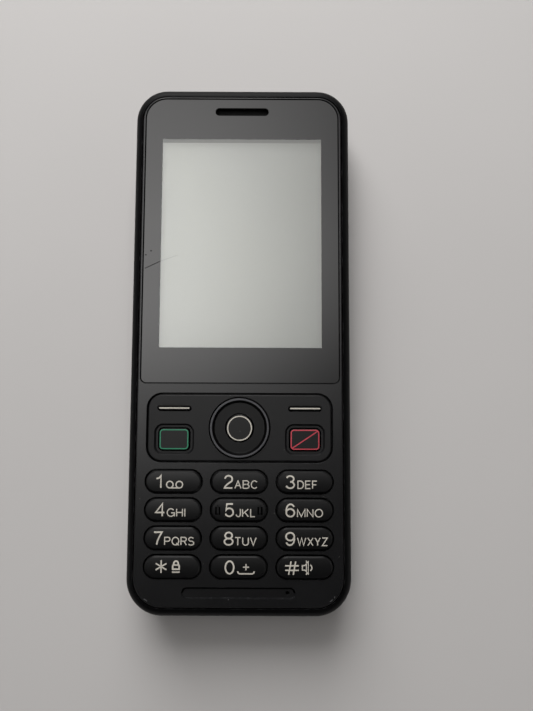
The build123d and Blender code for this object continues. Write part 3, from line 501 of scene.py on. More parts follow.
def under_print(name, colour, roughness, shine=0.5):
    """Smooth print or film."""
    material, sockets, surface = grained(name, colour, 5000.0, 0.8, 1.25, {"Specular IOR Level": shine})
    set_roughness(sockets, surface["Patches"], roughness - 0.05, roughness + 0.05)
    return material


def idle_display(name, colour):
    """Pale idle display that glows with its own colour as painted light, dimmer to its right as a painted
    reflection of the brighter room, with a grey strip along its top edge and soft clouds.
    """
    # Painted light: the display's colour also glows, though the display is not lit.
    material, tree, sockets = new_material(name, {"Emission Strength": 0.75, "Specular IOR Level": 0.2})
    strip_from_tape = 10.1 * MM
    low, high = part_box("lcd_panel")
    places = parts_of(object_places(tree))
    strip = calculate("GREATER_THAN", places["Y"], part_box("window_tape")[1].y - strip_from_tape)
    side = spread(places["X"], low.x, high.x)
    # Painted reflection: the face is paler on the left and darker on the right.
    face = blend_colours(side, paint(colour, 1.11), paint(colour, 0.635))
    clouds = noise(tree, 60.0, 3.0)
    cloudy = blend_colours(clouds, paint((0.96, 0.96, 0.97)), paint((1.0, 1.0, 0.98)))
    both = {0: 1.0, 6: face, 7: cloudy}
    even = put(tree, "ShaderNodeMix", both, data_type="RGBA", blend_type="MULTIPLY").outputs[2]
    shade = blend_colours(strip, even, paint(colour, 0.47))
    feed(sockets["Base Color"], shade)
    feed(sockets["Emission Color"], shade)
    set_roughness(sockets, clouds, 0.45, 0.55)
    return material


def rolled_metal(name, colour, roughness):
    """Rolled sheet metal with fine lines and tarnished patches."""
    material, tree, sockets = new_material(name, {"Metallic": 1.0})
    lines = place_group(tree, brushed_lines, Scale=4000.0)
    set_colour(sockets, lines["Patches"], colour, 0.75, 1.1)
    set_roughness(sockets, lines["Height"], roughness - 0.08, roughness + 0.10)
    set_bump(sockets, lines["Height"], 0.004 * MM, 0.4)
    return material


def woven_screen(name, colour):
    """Woven screen over a sound opening."""
    material, tree, sockets = new_material(name, {"Specular IOR Level": 0.15})
    weave = place_group(tree, woven_threads, Scale=900.0)
    # Painted shade: the holes between the threads are ten times darker than the threads.
    set_colour(sockets, weave["Holes"], colour, 1.0, 0.1)
    set_roughness(sockets, weave["Height"], 0.75, 0.5, 0.0, 1.0)
    set_bump(sockets, weave["Height"], 0.06 * MM, 0.8)
    return material


def solder_mask(name, colour, copper):
    """Board lacquer over tracks, with small bare pads."""
    material, tree, sockets = new_material(name)
    places = object_places(tree)
    tracks = put(tree, "ShaderNodeTexVoronoi", {"Vector": places, "Scale": 260.0}, feature="DISTANCE_TO_EDGE")
    track = spread(tracks.outputs["Distance"], 0.10, 0.04)
    pads = put(tree, "ShaderNodeTexVoronoi", {"Vector": places, "Scale": 420.0}, distance="CHEBYCHEV")
    pad = calculate("LESS_THAN", pads.outputs["Distance"], 0.16)
    lacquer = blend_colours(track, paint(colour), paint(colour, 1.8))
    feed(sockets["Base Color"], blend_colours(pad, lacquer, paint(copper)))
    feed(sockets["Metallic"], calculate("MULTIPLY", pad, 0.9))
    set_roughness(sockets, track, 0.38, 0.30, 0.0, 1.0)
    set_bump(sockets, track, 0.03 * MM)
    return material


def printed_flex(name, colour, copper):
    """Amber film with rows of copper tracks along it."""
    material, tree, sockets = new_material(name)
    track = spread(bands(tree, 500.0, "X"), 0.45, 0.6)
    feed(sockets["Base Color"], blend_colours(track, paint(colour), paint(copper)))
    set_roughness(sockets, track, 0.30, 0.42, 0.0, 1.0)
    set_bump(sockets, track, 0.01 * MM)
    return material


def soft_rubber(name, colour):
    """Silicone rubber with a dry skin."""
    constants = {"Subsurface Weight": 0.15, "Subsurface Scale": 0.4 * MM}
    material, sockets, surface = grained(name, colour, 4000.0, 0.8, 1.2, constants)
    set_roughness(sockets, surface["Height"], 0.55, 0.75)
    set_bump(sockets, surface["Height"], 0.01 * MM)
    return material


def wrapped_cell(name, colour):
    """Shrink film round the battery cell, with faint wrinkles."""
    material, sockets = grained(name, colour, 2500.0, 0.85, 1.15)[:2]
    wrinkles = noise(material.node_tree, 180.0, 2.0)
    set_roughness(sockets, wrinkles, 0.28, 0.45)
    set_bump(sockets, wrinkles, 0.08 * MM, 0.4)
    return material


def plain_floor(name, colour):
    """Plain matt floor with a faint unevenness."""
    material, tree, sockets = new_material(name, {"Roughness": 0.8, "Specular IOR Level": 0.2})
    set_colour(sockets, noise(tree, 14.0, 3.0), colour, 0.97, 1.03)
    return material


def plain_backdrop(name, colour):
    """Pale backdrop that glows evenly."""
    constants = {"Base Color": paint((0.0, 0.0, 0.0)), "Specular IOR Level": 0.0, "Emission Strength": 0.9}
    material, tree, sockets = new_material(name, constants)
    glow = blend_colours(noise(tree, 2.0, 2.0), paint(colour, 0.98), paint(colour, 1.02))
    feed(sockets["Emission Color"], glow)
    return material


# Shape helpers


def middle(node):
    """Return the middle of a CAD node's box."""
    low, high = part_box(node)
    return (low + high) / 2


def dress(material, *nodes):
    """Give CAD nodes their finish."""
    for node in nodes:
        for slot in frame["nodes"][node].material_slots:
            slot.material = material


def body_of(node):
    """Return the name of the body that carries a CAD node."""
    return frame["nodes"][node]["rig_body"]


def extent(node):
    """Return the size of a CAD node's box."""
    low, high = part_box(node)
    return high - low


def copy_of(node):
    """Return a mesh in progress with the shape of a CAD node."""
    bm = bmesh.new()
    bm.from_mesh(frame["nodes"][node].data)
    return bm


def new_object(name, bm, material):
    """Turn a mesh in progress into an object in the scene."""
    mesh = bpy.data.meshes.new(name)
    bm.to_mesh(mesh)
    bm.free()
    mesh.materials.append(material)
    thing = bpy.data.objects.new(name, mesh)
    bpy.context.scene.collection.objects.link(thing)
    return thing


def new_piece(name, bm, material, body, smooth=False):
    """Turn a mesh in progress into a named piece that rides on a body."""
    piece = new_object(name, bm, material)
    for polygon in piece.data.polygons:
        polygon.use_smooth = smooth
    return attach(piece, body)


def add_loop(bm, outer, inner):
    """Fill the band between two closed lines with as many points each."""
    count = len(outer)
    outside = [bm.verts.new((x, y, 0.0)) for x, y in outer]
    inside = [bm.verts.new((x, y, 0.0)) for x, y in inner]
    for i in range(count):
        j = (i + 1) % count
        bm.faces.new((outside[i], outside[j], inside[j], inside[i]))


def add_patch(bm, points):
    """Fill a closed line."""
    bm.faces.new([bm.verts.new((x, y, 0.0)) for x, y in points])


def add_stroke(bm, start, end, width):
    """Draw one straight line with square ends."""
    start = Vector(start)
    end = Vector(end)
    along = (end - start).normalized()
    across = Vector((-along.y, along.x)) * width / 2
    add_patch(bm, [start + across, start - across, end - across, end + across])


def rounded_points(x, y, width, height, radius, steps=7):
    """Return points along a rectangle with round corners."""
    points = []
    for turn, (side, up) in enumerate(((1, 1), (-1, 1), (-1, -1), (1, -1))):
        corner = (x + side * (width / 2 - radius), y + up * (height / 2 - radius))
        points += bow(*corner, radius, radius, 90 * turn, 90 * turn + 90, steps)
    return points


def add_ring(bm, x, y, radius, width, steps=40):
    """Draw a circle as a line inside the given radius."""
    add_loop(bm, *[bow(x, y, reach, reach, 0, 360, steps)[:-1] for reach in (radius, radius - width)])


def add_frame(bm, x, y, width, height, radius, line):
    """Draw a rectangle with round corners as a line inside its size."""
    inner_radius = max(radius - line, 0.1 * MM)
    outer = rounded_points(x, y, width, height, radius)
    add_loop(bm, outer, rounded_points(x, y, width - 2 * line, height - 2 * line, inner_radius))


def add_line(bm, points, width, closed=False):
    """Draw a bent line of even width with mitred corners."""
    spots = [Vector(point) for point in points]
    rails = []
    for i, spot in enumerate(spots):
        before = spots[i - 1] if closed or i > 0 else None
        after = spots[(i + 1) % len(spots)] if closed or i < len(spots) - 1 else None
        leaving = (after - spot).normalized() if after is not None else (spot - before).normalized()
        arriving = (spot - before).normalized() if before is not None else leaving
        bend = (arriving + leaving).normalized()
        across = Vector((-bend.y, bend.x))
        reach = width / 2 / max(across.dot(Vector((-leaving.y, leaving.x))), 0.5)
        rails.append([bm.verts.new((*(spot + side * reach * across), 0.0)) for side in (1, -1)])
    following = rails[1:] + rails[:1] if closed else rails[1:]
    for (left, right), (next_left, next_right) in zip(rails, following):
        bm.faces.new((left, right, next_right, next_left))


def add_sign(bm, sign, left, bottom, width, height, line):
    """Draw one letter or digit so that its outside takes up the given box."""
    start = Vector((left + line / 2, bottom + line / 2))
    for stroke in GLYPHS[sign]:
        points = [(start.x + x * (width - line), start.y + y * (height - line)) for x, y in stroke]
        closed = points[0] == points[-1]
        add_line(bm, points[:-1] if closed else points, line, closed)


def add_words(bm, words, left, bottom, width, height, line):
    """Draw a row of letters that together take up the given width."""
    gap = 0.12
    drawn_line = 0.16
    widths = [LETTER_WIDTHS.get(letter, PLAIN_LETTER_WIDTH) for letter in words]
    scale = (width - line) / (sum(widths) + gap * (len(words) - 1) - drawn_line)
    for letter, share in zip(words, widths):
        wide = max((share - drawn_line / len(words)) * scale + line / len(words), line)
        add_sign(bm, letter, left, bottom, wide, height, line)
        left += wide + gap * scale


def cut(bm, place, across):
    """Cut a mesh in progress along a plane."""
    bmesh.ops.bisect_plane(bm, geom=[*bm.verts, *bm.edges, *bm.faces], plane_co=place, plane_no=across)


def print_on(node, name, bm, material, row=FINE_ROW, lift=None):
    """Cut a flat drawing into rows and lay it on the top of a CAD node, as a piece that rides with it."""
    lift = lift or bpy.context.scene.phone_print.paint_lift
    low = min(vertex.co.y for vertex in bm.verts)
    high = max(vertex.co.y for vertex in bm.verts)
    for i in range(1, math.ceil((high - low) / row)):
        cut(bm, (0, low + i * row, 0), (0, 1, 0))
    solid = copy_of(node)
    surface = BVHTree.FromBMesh(solid)
    solid.free()
    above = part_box(node)[1].z + 1 * MM
    for vertex in bm.verts:
        hit = surface.ray_cast(Vector((vertex.co.x, vertex.co.y, above)), Vector((0, 0, -1)))[0]
        if hit is None:
            raise RuntimeError(f"{name} reaches past the edge of {node}")
        vertex.co.z = hit.z + lift
    bmesh.ops.recalc_face_normals(bm, faces=bm.faces)
    for face in bm.faces:
        if face.normal.z < 0:
            face.normal_flip()
    new_piece(name, bm, material, body_of(node))


def draw_scratches(node, name, lines, material, lift):
    """Draw straight lines on a CAD node, each with its two ends and its width in millimetres."""
    bm = bmesh.new()
    for start, end, width in lines:
        add_stroke(bm, Vector(start) * MM, Vector(end) * MM, width * MM)
    print_on(node, name, bm, material, WIDE_ROW, lift)


def hang_under(node, name, bm, material):
    """Lay a flat drawing face down, just under the lower side of a CAD node."""
    drop = 0.01 * MM
    for vertex in bm.verts:
        vertex.co.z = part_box(node)[0].z - drop
    bmesh.ops.reverse_faces(bm, faces=bm.faces)
    new_piece(name, bm, material, body_of(node))


# Small pictures on the keys, drawn from their left end on the baseline


def draw_voicemail(bm, left, bottom, width, height, line):
    """Two reels joined by a tape."""
    radius = 0.225 * width
    for x in (left + radius, left + width - radius):
        add_ring(bm, x, bottom + radius, radius, 0.8 * line)
    tape = bottom + 0.4 * line
    add_stroke(bm, (left + radius, tape), (left + width - radius, tape), 0.8 * line)


def draw_padlock(bm, left, bottom, width, height, line):
    """A closed padlock over a bar."""
    x = left + width / 2
    radius = 0.28 * width
    side = [(0.42 * width, 0.36 * height), (0.42 * width, 0.60 * height), (0.30 * width, 0.71 * height)]
    top = bow(0.0, 0.775 * height, radius, radius, 0, 180, 13)
    outline = side + top + [(-across, up) for across, up in side[::-1]]
    add_line(bm, [(x + across, bottom + up) for across, up in outline], line, closed=True)
    for reach, up in ((0.34, 0.66), (0.5, 0.155)):
        y = bottom + up * height
        add_stroke(bm, (x - reach * width, y), (x + reach * width, y), 0.85 * line)


def draw_space(bm, left, bottom, width, height, line):
    """A plus over an open tray with round corners."""
    tray = 0.24 * height
    right = left + width
    corner = 0.14 * width
    base = bottom + line / 2
    dip = [(left + line / 2, bottom + tray), (left + 0.4 * corner, base + 0.3 * tray), (left + corner, base)]
    add_line(bm, dip + [(left + right - x, y) for x, y in dip[::-1]], 0.85 * line)
    x = left + width / 2
    y = bottom + 0.53 * height
    arm = 0.22 * height
    add_stroke(bm, (x - arm, y), (x + arm, y), 0.7 * line)
    add_stroke(bm, (x, y - arm), (x, y + arm), 0.7 * line)


def draw_muted(bm, left, bottom, width, height, line):
    """A small loudspeaker with a bar across it."""
    thin = 0.65 * line
    horn = ((0.0, 0.34), (0.26, 0.34), (0.60, 0.06), (0.60, 0.94), (0.26, 0.66), (0.0, 0.66))
    add_line(bm, [(left + x * width, bottom + y * height) for x, y in horn], thin, closed=True)
    radius = 0.34 * width
    add_line(bm, bow(left + 0.62 * width, bottom + 0.5 * height, radius, radius, -60, 60, 8), thin)
    bar = left + 0.42 * width
    add_stroke(bm, (bar, bottom), (bar, bottom + height), thin)


def draw_star(bm, left, bottom, width, height, line):
    """A star of six arms."""
    x = left + width / 2
    y = bottom + 0.54 * height
    for turn in (30, 90, 150):
        reach = Vector((math.cos(math.radians(turn)), math.sin(math.radians(turn)))) * 0.55 * width
        add_stroke(bm, Vector((x, y)) - reach, Vector((x, y)) + reach, 0.85 * line)


def draw_hash(bm, left, bottom, width, height, line):
    """Two slanted and two level lines."""
    lean = 0.09 * width
    high = 0.94 * height
    for share in (0.34, 0.68):
        x = left + share * width
        add_stroke(bm, (x - lean, bottom), (x + lean, bottom + high), 0.85 * line)
        y = bottom + share * high
        add_stroke(bm, (left, y), (left + width, y), 0.85 * line)


PICTURES = {
    "voicemail": draw_voicemail,
    "padlock": draw_padlock,
    "space": draw_space,
    "muted": draw_muted,
    "star": draw_star,
    "hash": draw_hash,
}


# Pieces and operators, group by group


def add_corner_marks():
    """Draw small pale marks at the lower corners of the panel."""
    width = 0.22
    lines = (
        ((-20.8, -56.65), (-20.1, -57.15), width),
        ((20.2, -57.1), (20.85, -56.6), width),
        ((21.15, -56.3), (21.35, -56.05), width),
    )
    pale = printed_paint("corner_mark_pale", (0.05, 0.05, 0.052))
    draw_scratches("front_cover", "corner_pale_marks", lines, pale, 0.004 * MM)


class PHONE_OT_shell(bpy.types.Operator):
    """Finish the front panel and its pale corner marks, the band round it and the back cover."""

    bl_idname = "phone.shell"
    bl_label = "Shell"

    def execute(self, context):
        colours = context.scene.phone_colours
        panel = moulded_plastic("panel_black", colours.panel, 0.26, lacquer=1.0)
        band = moulded_plastic("band_black", colours.band, 0.38, lacquer=0.14, sides=0.7)
        back = moulded_plastic("back_black", colours.band, 0.50, 0.35, 3500.0, 0.01 * MM)
        dress(panel, "front_cover")
        dress(band, "frame")
        dress(back, "battery_cover")
        add_corner_marks()
        return {"FINISHED"}


def add_pane(glass):
    """Copy the window without its underside, because the black print and the display are bonded to it."""
    bm = copy_of("display_window")
    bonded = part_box("display_window")[0].z + 0.01 * MM
    hidden = [face for face in bm.faces if all(vertex.co.z < bonded for vertex in face.verts)]
    bmesh.ops.delete(bm, geom=hidden, context="FACES")
    pane = new_piece("window_pane", bm, glass, "phone")
    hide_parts("display_window")


def add_border(material):
    """Lay the black print of the window on its upper face, open over the display."""
    lift = 0.003 * MM
    low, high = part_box("lcd_panel")
    left = low.x + 0.84 * MM
    right = high.x - 0.84 * MM
    bottom = low.y + 2.30 * MM
    top = high.y - 1.33 * MM
    bm = copy_of("display_window")
    bmesh.ops.delete(bm, geom=[face for face in bm.faces if face.normal.z < 0.3], context="FACES")
    for x in (left, right):
        cut(bm, (x, 0, 0), (1, 0, 0))
    for y in (bottom, top):
        cut(bm, (0, y, 0), (0, 1, 0))
    spots = {face: face.calc_center_median() for face in bm.faces}
    shown = [face for face, spot in spots.items() if left < spot.x < right and bottom < spot.y < top]
    bmesh.ops.delete(bm, geom=shown, context="FACES")
    for vertex in bm.verts:
        vertex.co.z += lift
    new_piece("window_border", bm, material, "phone")


def add_scratches():
    """Draw one long scratch that thins out over the display, and two short nicks beside it."""
    lines = (
        ((-22.2, 17.35), (-18.75, 19.0), 0.20),
        ((-18.75, 19.0), (-14.5, 20.6), 0.03),
        ((-22.25, 20.5), (-21.85, 20.55), 0.28),
        ((-21.05, 21.5), (-20.65, 21.45), 0.28),
    )
    dark = printed_paint("scratch_dark", (0.012, 0.012, 0.012))
    draw_scratches("display_window", "window_scratches", lines, dark, 0.010 * MM)


class PHONE_OT_window(bpy.types.Operator):
    """Replace the window with a clear pane, add its print and scratches, and finish what lies under it."""

    bl_idname = "phone.window"
    bl_label = "Window and display"

    def execute(self, context):
        black = (0.003, 0.003, 0.0032)
        glass = clear_glass("window_clear", (0.985, 0.99, 0.985))
        add_pane(glass)
        add_border(under_print("border_black", black, 0.06, 0.8))
        add_scratches()
        dress(glass, "camera_glass", "display_window")
        dress(under_print("mask_black", black, 0.6, 0.0), "window_tape")
        dress(soft_rubber("gasket_black", (0.01, 0.01, 0.01)), "display_gasket")
        dress(woven_screen("screen_dark", (0.006, 0.006, 0.006)), "earpiece_mesh", "speaker_mesh")
        dress(idle_display("display_pale", context.scene.phone_colours.display), "lcd_panel")
        return {"FINISHED"}


class PHONE_OT_keys(bpy.types.Operator):
    """Finish the function plate, the navigation ring and all the keys."""

    bl_idname = "phone.keys"
    bl_label = "Keys"

    def execute(self, context):
        colours = context.scene.phone_colours
        finishes = (
            ("plate_black", colours.panel, 0.43, 0.60, ["function_plate"]),
            ("key_black", colours.keys, 0.31, 0.70, NUMBER_KEYS),
            ("cap_black", colours.keys, 0.40, 0.70, ["call_key", "end_key", "ok_key"]),
        )
        for name, colour, roughness, lacquer, nodes in finishes:
            dress(moulded_plastic(name, colour, roughness, lacquer=lacquer), *nodes)
        dress(moulded_plastic("rocker_black", colours.keys, 0.5, 0.05), "nav_rocker")
        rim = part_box("nav_ring")[1].z
        dish = rim - 0.55 * MM
        dress(dished_plastic("ring_black", colours.keys, colours.worn, 0.50, dish, rim), "nav_ring")
        return {"FINISHED"}


def print_mark(bm, what, left, bottom, width, height, sizes):
    """Draw a small picture, or else letters, whose lines thin out with their height."""
    if what in PICTURES:
        PICTURES[what](bm, left, bottom, width, height, sizes.line_width)
    else:
        line = sizes.line_width * (height / sizes.sign_height) ** 0.8
        add_words(bm, what, left, bottom, width, height, line)


class PHONE_OT_legends(bpy.types.Operator):
    """Print the signs, letters and small pictures on the number keys."""

    bl_idname = "phone.legends"
    bl_label = "Legends"

    def execute(self, context):
        sizes = context.scene.phone_print
        material = printed_paint("legend_white", context.scene.phone_colours.legend)
        for key, legend in LEGENDS.items():
            bm = bmesh.new()
            spot = middle(key)
            bottom = spot.y - sizes.baseline_drop
            left = spot.x + legend.left * MM
            beside = left + (legend.sign_width + legend.gap) * MM
            height = sizes.sign_height if legend.beside in PICTURES else sizes.letter_height
            print_mark(bm, legend.sign, left, bottom, legend.sign_width * MM, sizes.sign_height, sizes)
            print_mark(bm, legend.beside, beside, bottom, legend.beside_width * MM, height, sizes)
            print_on(key, f"legend_{key}", bm, material)
        return {"FINISHED"}


def add_outline(key, name, material, sizes, barred):
    """Draw a rounded outline near the edge of a key, with a bar from corner to corner where asked."""
    inset = 0.15 * MM
    corner = 0.75 * MM
    line = sizes.outline_width
    spot = middle(key).to_2d()
    outside = extent(key).to_2d() - 2 * Vector((inset, inset))
    bm = bmesh.new()
    add_frame(bm, *spot, *outside, corner, line)
    if barred:
        reach = outside / 2 - Vector((line, line))
        add_stroke(bm, spot - reach, spot + reach, line)
    print_on(key, name, bm, material)


def add_centre_ring(material, sizes):
    """Draw the ring on the centre key."""
    radius = 2.80 * MM
    drop = 0.08 * MM
    spot = middle("ok_key")
    bm = bmesh.new()
    add_ring(bm, spot.x, spot.y - drop, radius, sizes.outline_width, 64)
    print_on("ok_key", "centre_ring", bm, material)


def add_bars(material, shade):
    """Paint the tops of the two raised bars on the function plate, and lay painted shade in the gaps round
    them.
    """
    above_caps = 7.0 * MM
    gap_drop = 0.13 * MM
    for side, key in (("left", "call_key"), ("right", "end_key")):
        x, y = middle(key).to_2d() + Vector((0.0, above_caps))
        width = extent(key).x + 0.05 * MM
        bm = bmesh.new()
        add_patch(bm, rounded_points(x, y, width, 0.28 * MM, 0.13 * MM, 4))
        print_on("function_plate", f"soft_bar_{side}", bm, material)
        # Painted shade: a near-black film in the slot round each bar, lower than the bar.
        bm = bmesh.new()
        add_frame(bm, x, y - gap_drop, width + 0.75 * MM, 1.20 * MM, 0.59 * MM, 0.34 * MM)
        print_on("function_plate", f"bar_gap_{side}", bm, shade)


def add_nib_shade(shade):
    """Draw painted shade round the lower part of each nib on the middle key."""
    reach = 0.38 * MM
    nib = 0.20 * MM
    spot = middle("key_5")
    top = spot.y + 0.75 * MM
    foot = spot.y - 0.80 * MM
    from_middle = extent("key_5").x / 2 - KEY_LIP - NIB_FROM_END
    bm = bmesh.new()
    for x in (spot.x - from_middle, spot.x + from_middle):
        under = [(x + side, foot) for side in (-reach, -nib, -nib / 2, nib / 2, nib, reach)]
        add_line(bm, [(x - reach, top), *under, (x + reach, top)], 0.36 * MM)
    print_on("key_5", "nib_shade", bm, shade)


def add_key_gap_shade(shade):
    """Lay painted shade along the edge of each key's opening in the panel."""
    edge = 0.14 * MM
    line = 0.12 * MM
    grow = 2 * (KEY_CLEARANCE + edge - KEY_LIP)
    bm = bmesh.new()
    for key in NUMBER_KEYS:
        width, height = extent(key).to_2d() + Vector((grow, grow))
        add_frame(bm, *middle(key).to_2d(), width, height, 0.495 * height, line)
    print_on("front_cover", "key_gap_shade", bm, shade, ONE_ROW)


def add_groove_shade(shade):
    """Draw the shade along the upper edge of the grip groove."""
    y = middle("microphone").y
    end = (GROOVE_LENGTH - GROOVE_WIDTH) / 2
    rise = GROOVE_WIDTH / 2 - 0.20 * MM
    bm = bmesh.new()
    add_line(bm, bow(-end, y, rise, rise, 180, 90, 9) + bow(end, y, rise, rise, 90, 0, 9), 0.42 * MM)
    print_on("front_cover", "groove_shade", bm, shade, ONE_ROW)


class PHONE_OT_marks(bpy.types.Operator):
    """Paint the key outlines, the centre ring and the soft-key bars, and shade gaps, nibs and groove."""

    bl_idname = "phone.marks"
    bl_label = "Painted marks"

    def execute(self, context):
        colours = context.scene.phone_colours
        sizes = context.scene.phone_print
        white = printed_paint("mark_white", colours.legend)
        # Painted shade: a near-black film laid where gaps, nibs and the groove are in shade.
        shade = under_print("painted_shade_dark", (0.001, 0.001, 0.001), 0.8, 0.0)
        add_outline("call_key", "call_outline", printed_paint("call_green", colours.call), sizes, False)
        add_outline("end_key", "end_outline", printed_paint("end_red", colours.end), sizes, True)
        add_centre_ring(white, sizes)
        add_bars(white, shade)
        add_nib_shade(shade)
        add_key_gap_shade(shade)
        add_groove_shade(shade)
        return {"FINISHED"}


class PHONE_OT_inside(bpy.types.Operator):
    """Finish the pieces behind the panel and under the back cover."""

    bl_idname = "phone.inside"
    bl_label = "Inside"

    def execute(self, context):
        steel = rolled_metal("can_steel", (0.56, 0.56, 0.55), 0.34)
        gold = rolled_metal("contact_gold", (0.83, 0.60, 0.26), 0.28)
        black = moulded_plastic("socket_black", (0.012, 0.012, 0.013), 0.45)
        dress(steel, "shield_cans", "sim_holder", "usb_socket", "case_screws")
        dress(steel, "vibration_motor", "motor_weight")
        dress(gold, "contact_springs")
        dress(black, "contact_block", "audio_jack", "usb_tongue", "loudspeaker")
        dress(black, "camera_module", "earpiece", "microphone")
        dress(moulded_plastic("tray_white", (0.62, 0.62, 0.60), 0.45, worn=(0.7, 0.7, 0.68)), "lcd_tray")
        dress(soft_rubber("mat_rubber", (0.004, 0.004, 0.0045)), "keypad_mat", "mic_boot")
        dress(under_print("film_clear", (0.55, 0.57, 0.56), 0.25), "dome_sheet")
        dress(solder_mask("board_green", (0.010, 0.075, 0.030), (0.80, 0.58, 0.26)), "main_board")
        dress(printed_flex("flex_amber", (0.36, 0.15, 0.025), (0.60, 0.30, 0.10)), "display_flex", "antenna")
        dress(under_print("light_white", (0.85, 0.84, 0.70), 0.35), "keypad_lights")
        dress(wrapped_cell("battery_grey", (0.16, 0.165, 0.17)), "battery")
        return {"FINISHED"}


def add_cross_slots(material):
    """Draw a dark cross on each screw head as painted shade of its cross recess."""
    head = 1.4 * MM
    arm = 0.75 * MM
    width = 0.3 * MM
    low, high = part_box("case_screws")
    bm = bmesh.new()
    for x in (low.x + head, high.x - head):
        for y in (low.y + head, high.y - head):
            add_stroke(bm, (x - arm, y), (x + arm, y), width)
            add_stroke(bm, (x, y - arm), (x, y + arm), width)
    hang_under("case_screws", "screw_slots", bm, material)


def add_pins(material):
    """Draw five contact strips under the tongue of the charging socket."""
    low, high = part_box("usb_tongue")
    pitches_wide = 5.5
    pin_share = 0.38
    inset = 0.2 * MM
    pitch = (high.x - low.x) / pitches_wide
    bm = bmesh.new()
    for pin in range(-2, 3):
        x = middle("usb_tongue").x + pin * pitch
        add_stroke(bm, (x, low.y + inset), (x, high.y), pin_share * pitch)
    hang_under("usb_tongue", "socket_pins", bm, material)


def add_lens():
    """Turn the lens barrel and the front of its glass, from radii and depths in millimetres."""
    barrel = ((2.35, 0.0), (2.35, 0.25), (1.95, 0.25), (1.60, 0.06))
    barrel += ((1.30, 0.06), (1.25, 0.16), (1.00, 0.16), (0.95, 0.02))
    glass = ((0.96, 0.03), (0.80, 0.10), (0.60, 0.15), (0.40, 0.18), (0.20, 0.195), (0.0, 0.20))
    black = moulded_plastic("lens_black", (0.006, 0.006, 0.007), 0.3)
    dark = under_print("lens_glass", (0.004, 0.005, 0.009), 0.08)
    x, y = middle("camera_module").to_2d()
    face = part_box("camera_module")[0].z
    whole = {"cent": (x, y, face), "axis": (0, 0, 1), "angle": math.tau, "steps": 48, "use_merge": True}
    for name, profile, material in (("lens_barrel", barrel, black), ("lens_front", glass, dark)):
        bm = bmesh.new()
        edge = [bm.verts.new((x + r * MM, y, face - z * MM)) for r, z in profile]
        edges = [bm.edges.new(pair) for pair in zip(edge, edge[1:])]
        bmesh.ops.spin(bm, geom=edge + edges, **whole)
        bmesh.ops.remove_doubles(bm, verts=bm.verts, dist=0.001 * MM)
        bmesh.ops.recalc_face_normals(bm, faces=bm.faces)
        new_piece(name, bm, material, "phone", smooth=name == "lens_front")


class PHONE_OT_fittings(bpy.types.Operator):
    """Add the painted shade of the screws' cross slots, the pins of the charging socket and the camera's
    lens.
    """

    bl_idname = "phone.fittings"
    bl_label = "Small fittings"

    def execute(self, context):
        add_cross_slots(moulded_plastic("slot_dark", (0.01, 0.01, 0.01), 0.6))
        add_pins(bpy.data.materials["contact_gold"])
        add_lens()
        return {"FINISHED"}


def add_floor(colour):
    """Lay a wide plain floor under the phone."""
    reach = 3.0
    drop = 0.02 * MM
    bm = bmesh.new()
    add_patch(bm, [(-reach, -reach), (reach, -reach), (reach, reach), (-reach, reach)])
    floor = new_object("floor", bm, plain_floor("floor_pale", colour))
    floor.location.z = -drop


def add_backdrop(colour):
    """Stand a pale wall round the floor, which only the camera sees, so that it adds no light."""
    radius = 2.9
    height = 5.0
    bm = bmesh.new()
    bmesh.ops.create_cone(bm, segments=96, radius1=radius, radius2=radius, depth=height)
    wall = new_object("backdrop", bm, plain_backdrop("backdrop_pale", colour))
    for ray in ("diffuse", "glossy", "transmission", "volume_scatter", "shadow"):
        setattr(wall, f"visible_{ray}", False)


def light_room(scene, studio):
    """Make the room bright overhead and at its far end, pale at the horizon and dim elsewhere."""
    left_edge = (-0.52, -0.30)
    right_edge = (0.45, -0.18)
    near_edge = (-0.18, 0.25)
    near_slant = -0.28
    fading = (0.30, 0.62, 1.0, 0.6)
    far_edge = (0.62, 0.85)
    horizon = (0.06, 0.30)
    world = bpy.data.worlds.new("studio_room")
    world.use_nodes = True
    scene.world = world
    tree = world.node_tree
    x, y, z = parts_of(put(tree, "ShaderNodeTexCoord").outputs["Generated"])
    across = calculate("MULTIPLY", ease(x, *left_edge), ease(x, *right_edge))
    ahead = calculate("MULTIPLY_ADD", x, near_slant, y)
    ceiling = calculate("MULTIPLY", ease(ahead, *near_edge), spread(y, *fading))
    glow = calculate("MULTIPLY", across, calculate("ADD", ceiling, ease(y, *far_edge)))
    sky = calculate("MULTIPLY_ADD", glow, studio.overhead, studio.room)
    levels = {0: spread(z, *horizon), 2: studio.backdrop, 3: sky}
    strength = put(tree, "ShaderNodeMix", levels, data_type="FLOAT").outputs[0]
    background = tree.nodes["Background"].inputs
    background["Color"].default_value = (1.0, 0.985, 0.975, 1.0)
    feed(background["Strength"], strength)


def add_lamp(scene, power):
    """Hang a soft lamp beyond the earpiece end, a little to the left, that no shiny face mirrors."""
    data = bpy.data.lights.new("side_lamp", "AREA")
    data.shape = "SQUARE"
    data.size = 0.42
    data.energy = power
    lamp = bpy.data.objects.new("side_lamp", data)
    lamp.location = (-0.09, 0.45, 0.28)
    lamp.rotation_euler = (-lamp.location).to_track_quat("-Z", "Y").to_euler()
    lamp.visible_camera = False
    lamp.visible_glossy = False
    scene.collection.objects.link(lamp)


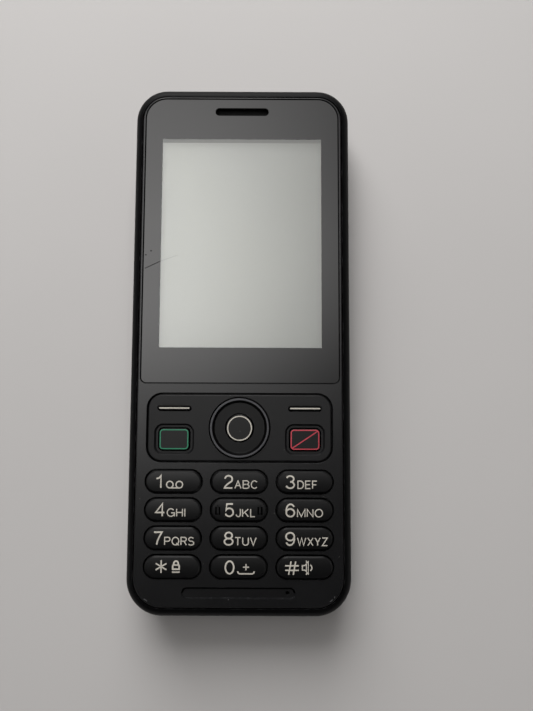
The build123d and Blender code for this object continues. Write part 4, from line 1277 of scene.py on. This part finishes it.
def add_camera(scene, studio):
    """Stand the camera over the phone, where the photograph was taken from."""
    data = bpy.data.cameras.new("camera")
    data.sensor_width = 36.0
    data.lens = studio.lens
    data.clip_start = 1 * MM
    camera = bpy.data.objects.new("camera", data)
    camera.location = studio.place
    camera.rotation_euler = (studio.tilt, 0.0, studio.turn)
    scene.collection.objects.link(camera)
    scene.camera = camera


class PHONE_OT_studio(bpy.types.Operator):
    """Lay the floor, stand the backdrop, light the room and set up the camera."""

    bl_idname = "phone.studio"
    bl_label = "Studio"

    def execute(self, context):
        studio = context.scene.phone_studio
        add_floor(context.scene.phone_colours.floor)
        add_backdrop(context.scene.phone_colours.floor)
        light_room(context.scene, studio)
        add_lamp(context.scene, studio.lamp)
        add_camera(context.scene, studio)
        context.scene.view_settings.view_transform = "Standard"
        return {"FINISHED"}


class PHONE_PT_dress(bpy.types.Panel):
    """List the steps and the values in the sidebar."""

    bl_idname = "PHONE_PT_dress"
    bl_label = "Phone"
    bl_space_type = "VIEW_3D"
    bl_region_type = "UI"
    bl_category = "Phone"

    def draw(self, context):
        for step in STEPS:
            self.layout.operator(step.bl_idname)
        for group in GROUPS:
            box = self.layout.box()
            values = getattr(context.scene, group)
            for name in values.bl_rna.properties.keys():
                if name not in ("rna_type", "name"):
                    box.prop(values, name)


GROUPS = {"phone_colours": PhoneColours, "phone_print": PhonePrint, "phone_studio": PhoneStudio}
STEPS = (
    PHONE_OT_shell,
    PHONE_OT_window,
    PHONE_OT_keys,
    PHONE_OT_legends,
    PHONE_OT_marks,
    PHONE_OT_inside,
    PHONE_OT_fittings,
    PHONE_OT_studio,
)
CLASSES = (*GROUPS.values(), *STEPS, PHONE_PT_dress)


def register():
    for kind in CLASSES:
        bpy.utils.register_class(kind)
    for name, group in GROUPS.items():
        setattr(bpy.types.Scene, name, PointerProperty(type=group))


def unregister():
    for name in GROUPS:
        delattr(bpy.types.Scene, name)
    for kind in reversed(CLASSES):
        bpy.utils.unregister_class(kind)


def main():
    """Register the classes and run every step in order."""
    register()
    bpy.ops.phone.shell()
    bpy.ops.phone.window()
    bpy.ops.phone.keys()
    bpy.ops.phone.legends()
    bpy.ops.phone.marks()
    bpy.ops.phone.inside()
    bpy.ops.phone.fittings()
    bpy.ops.phone.studio()


if __name__ == "__main__":
    main()
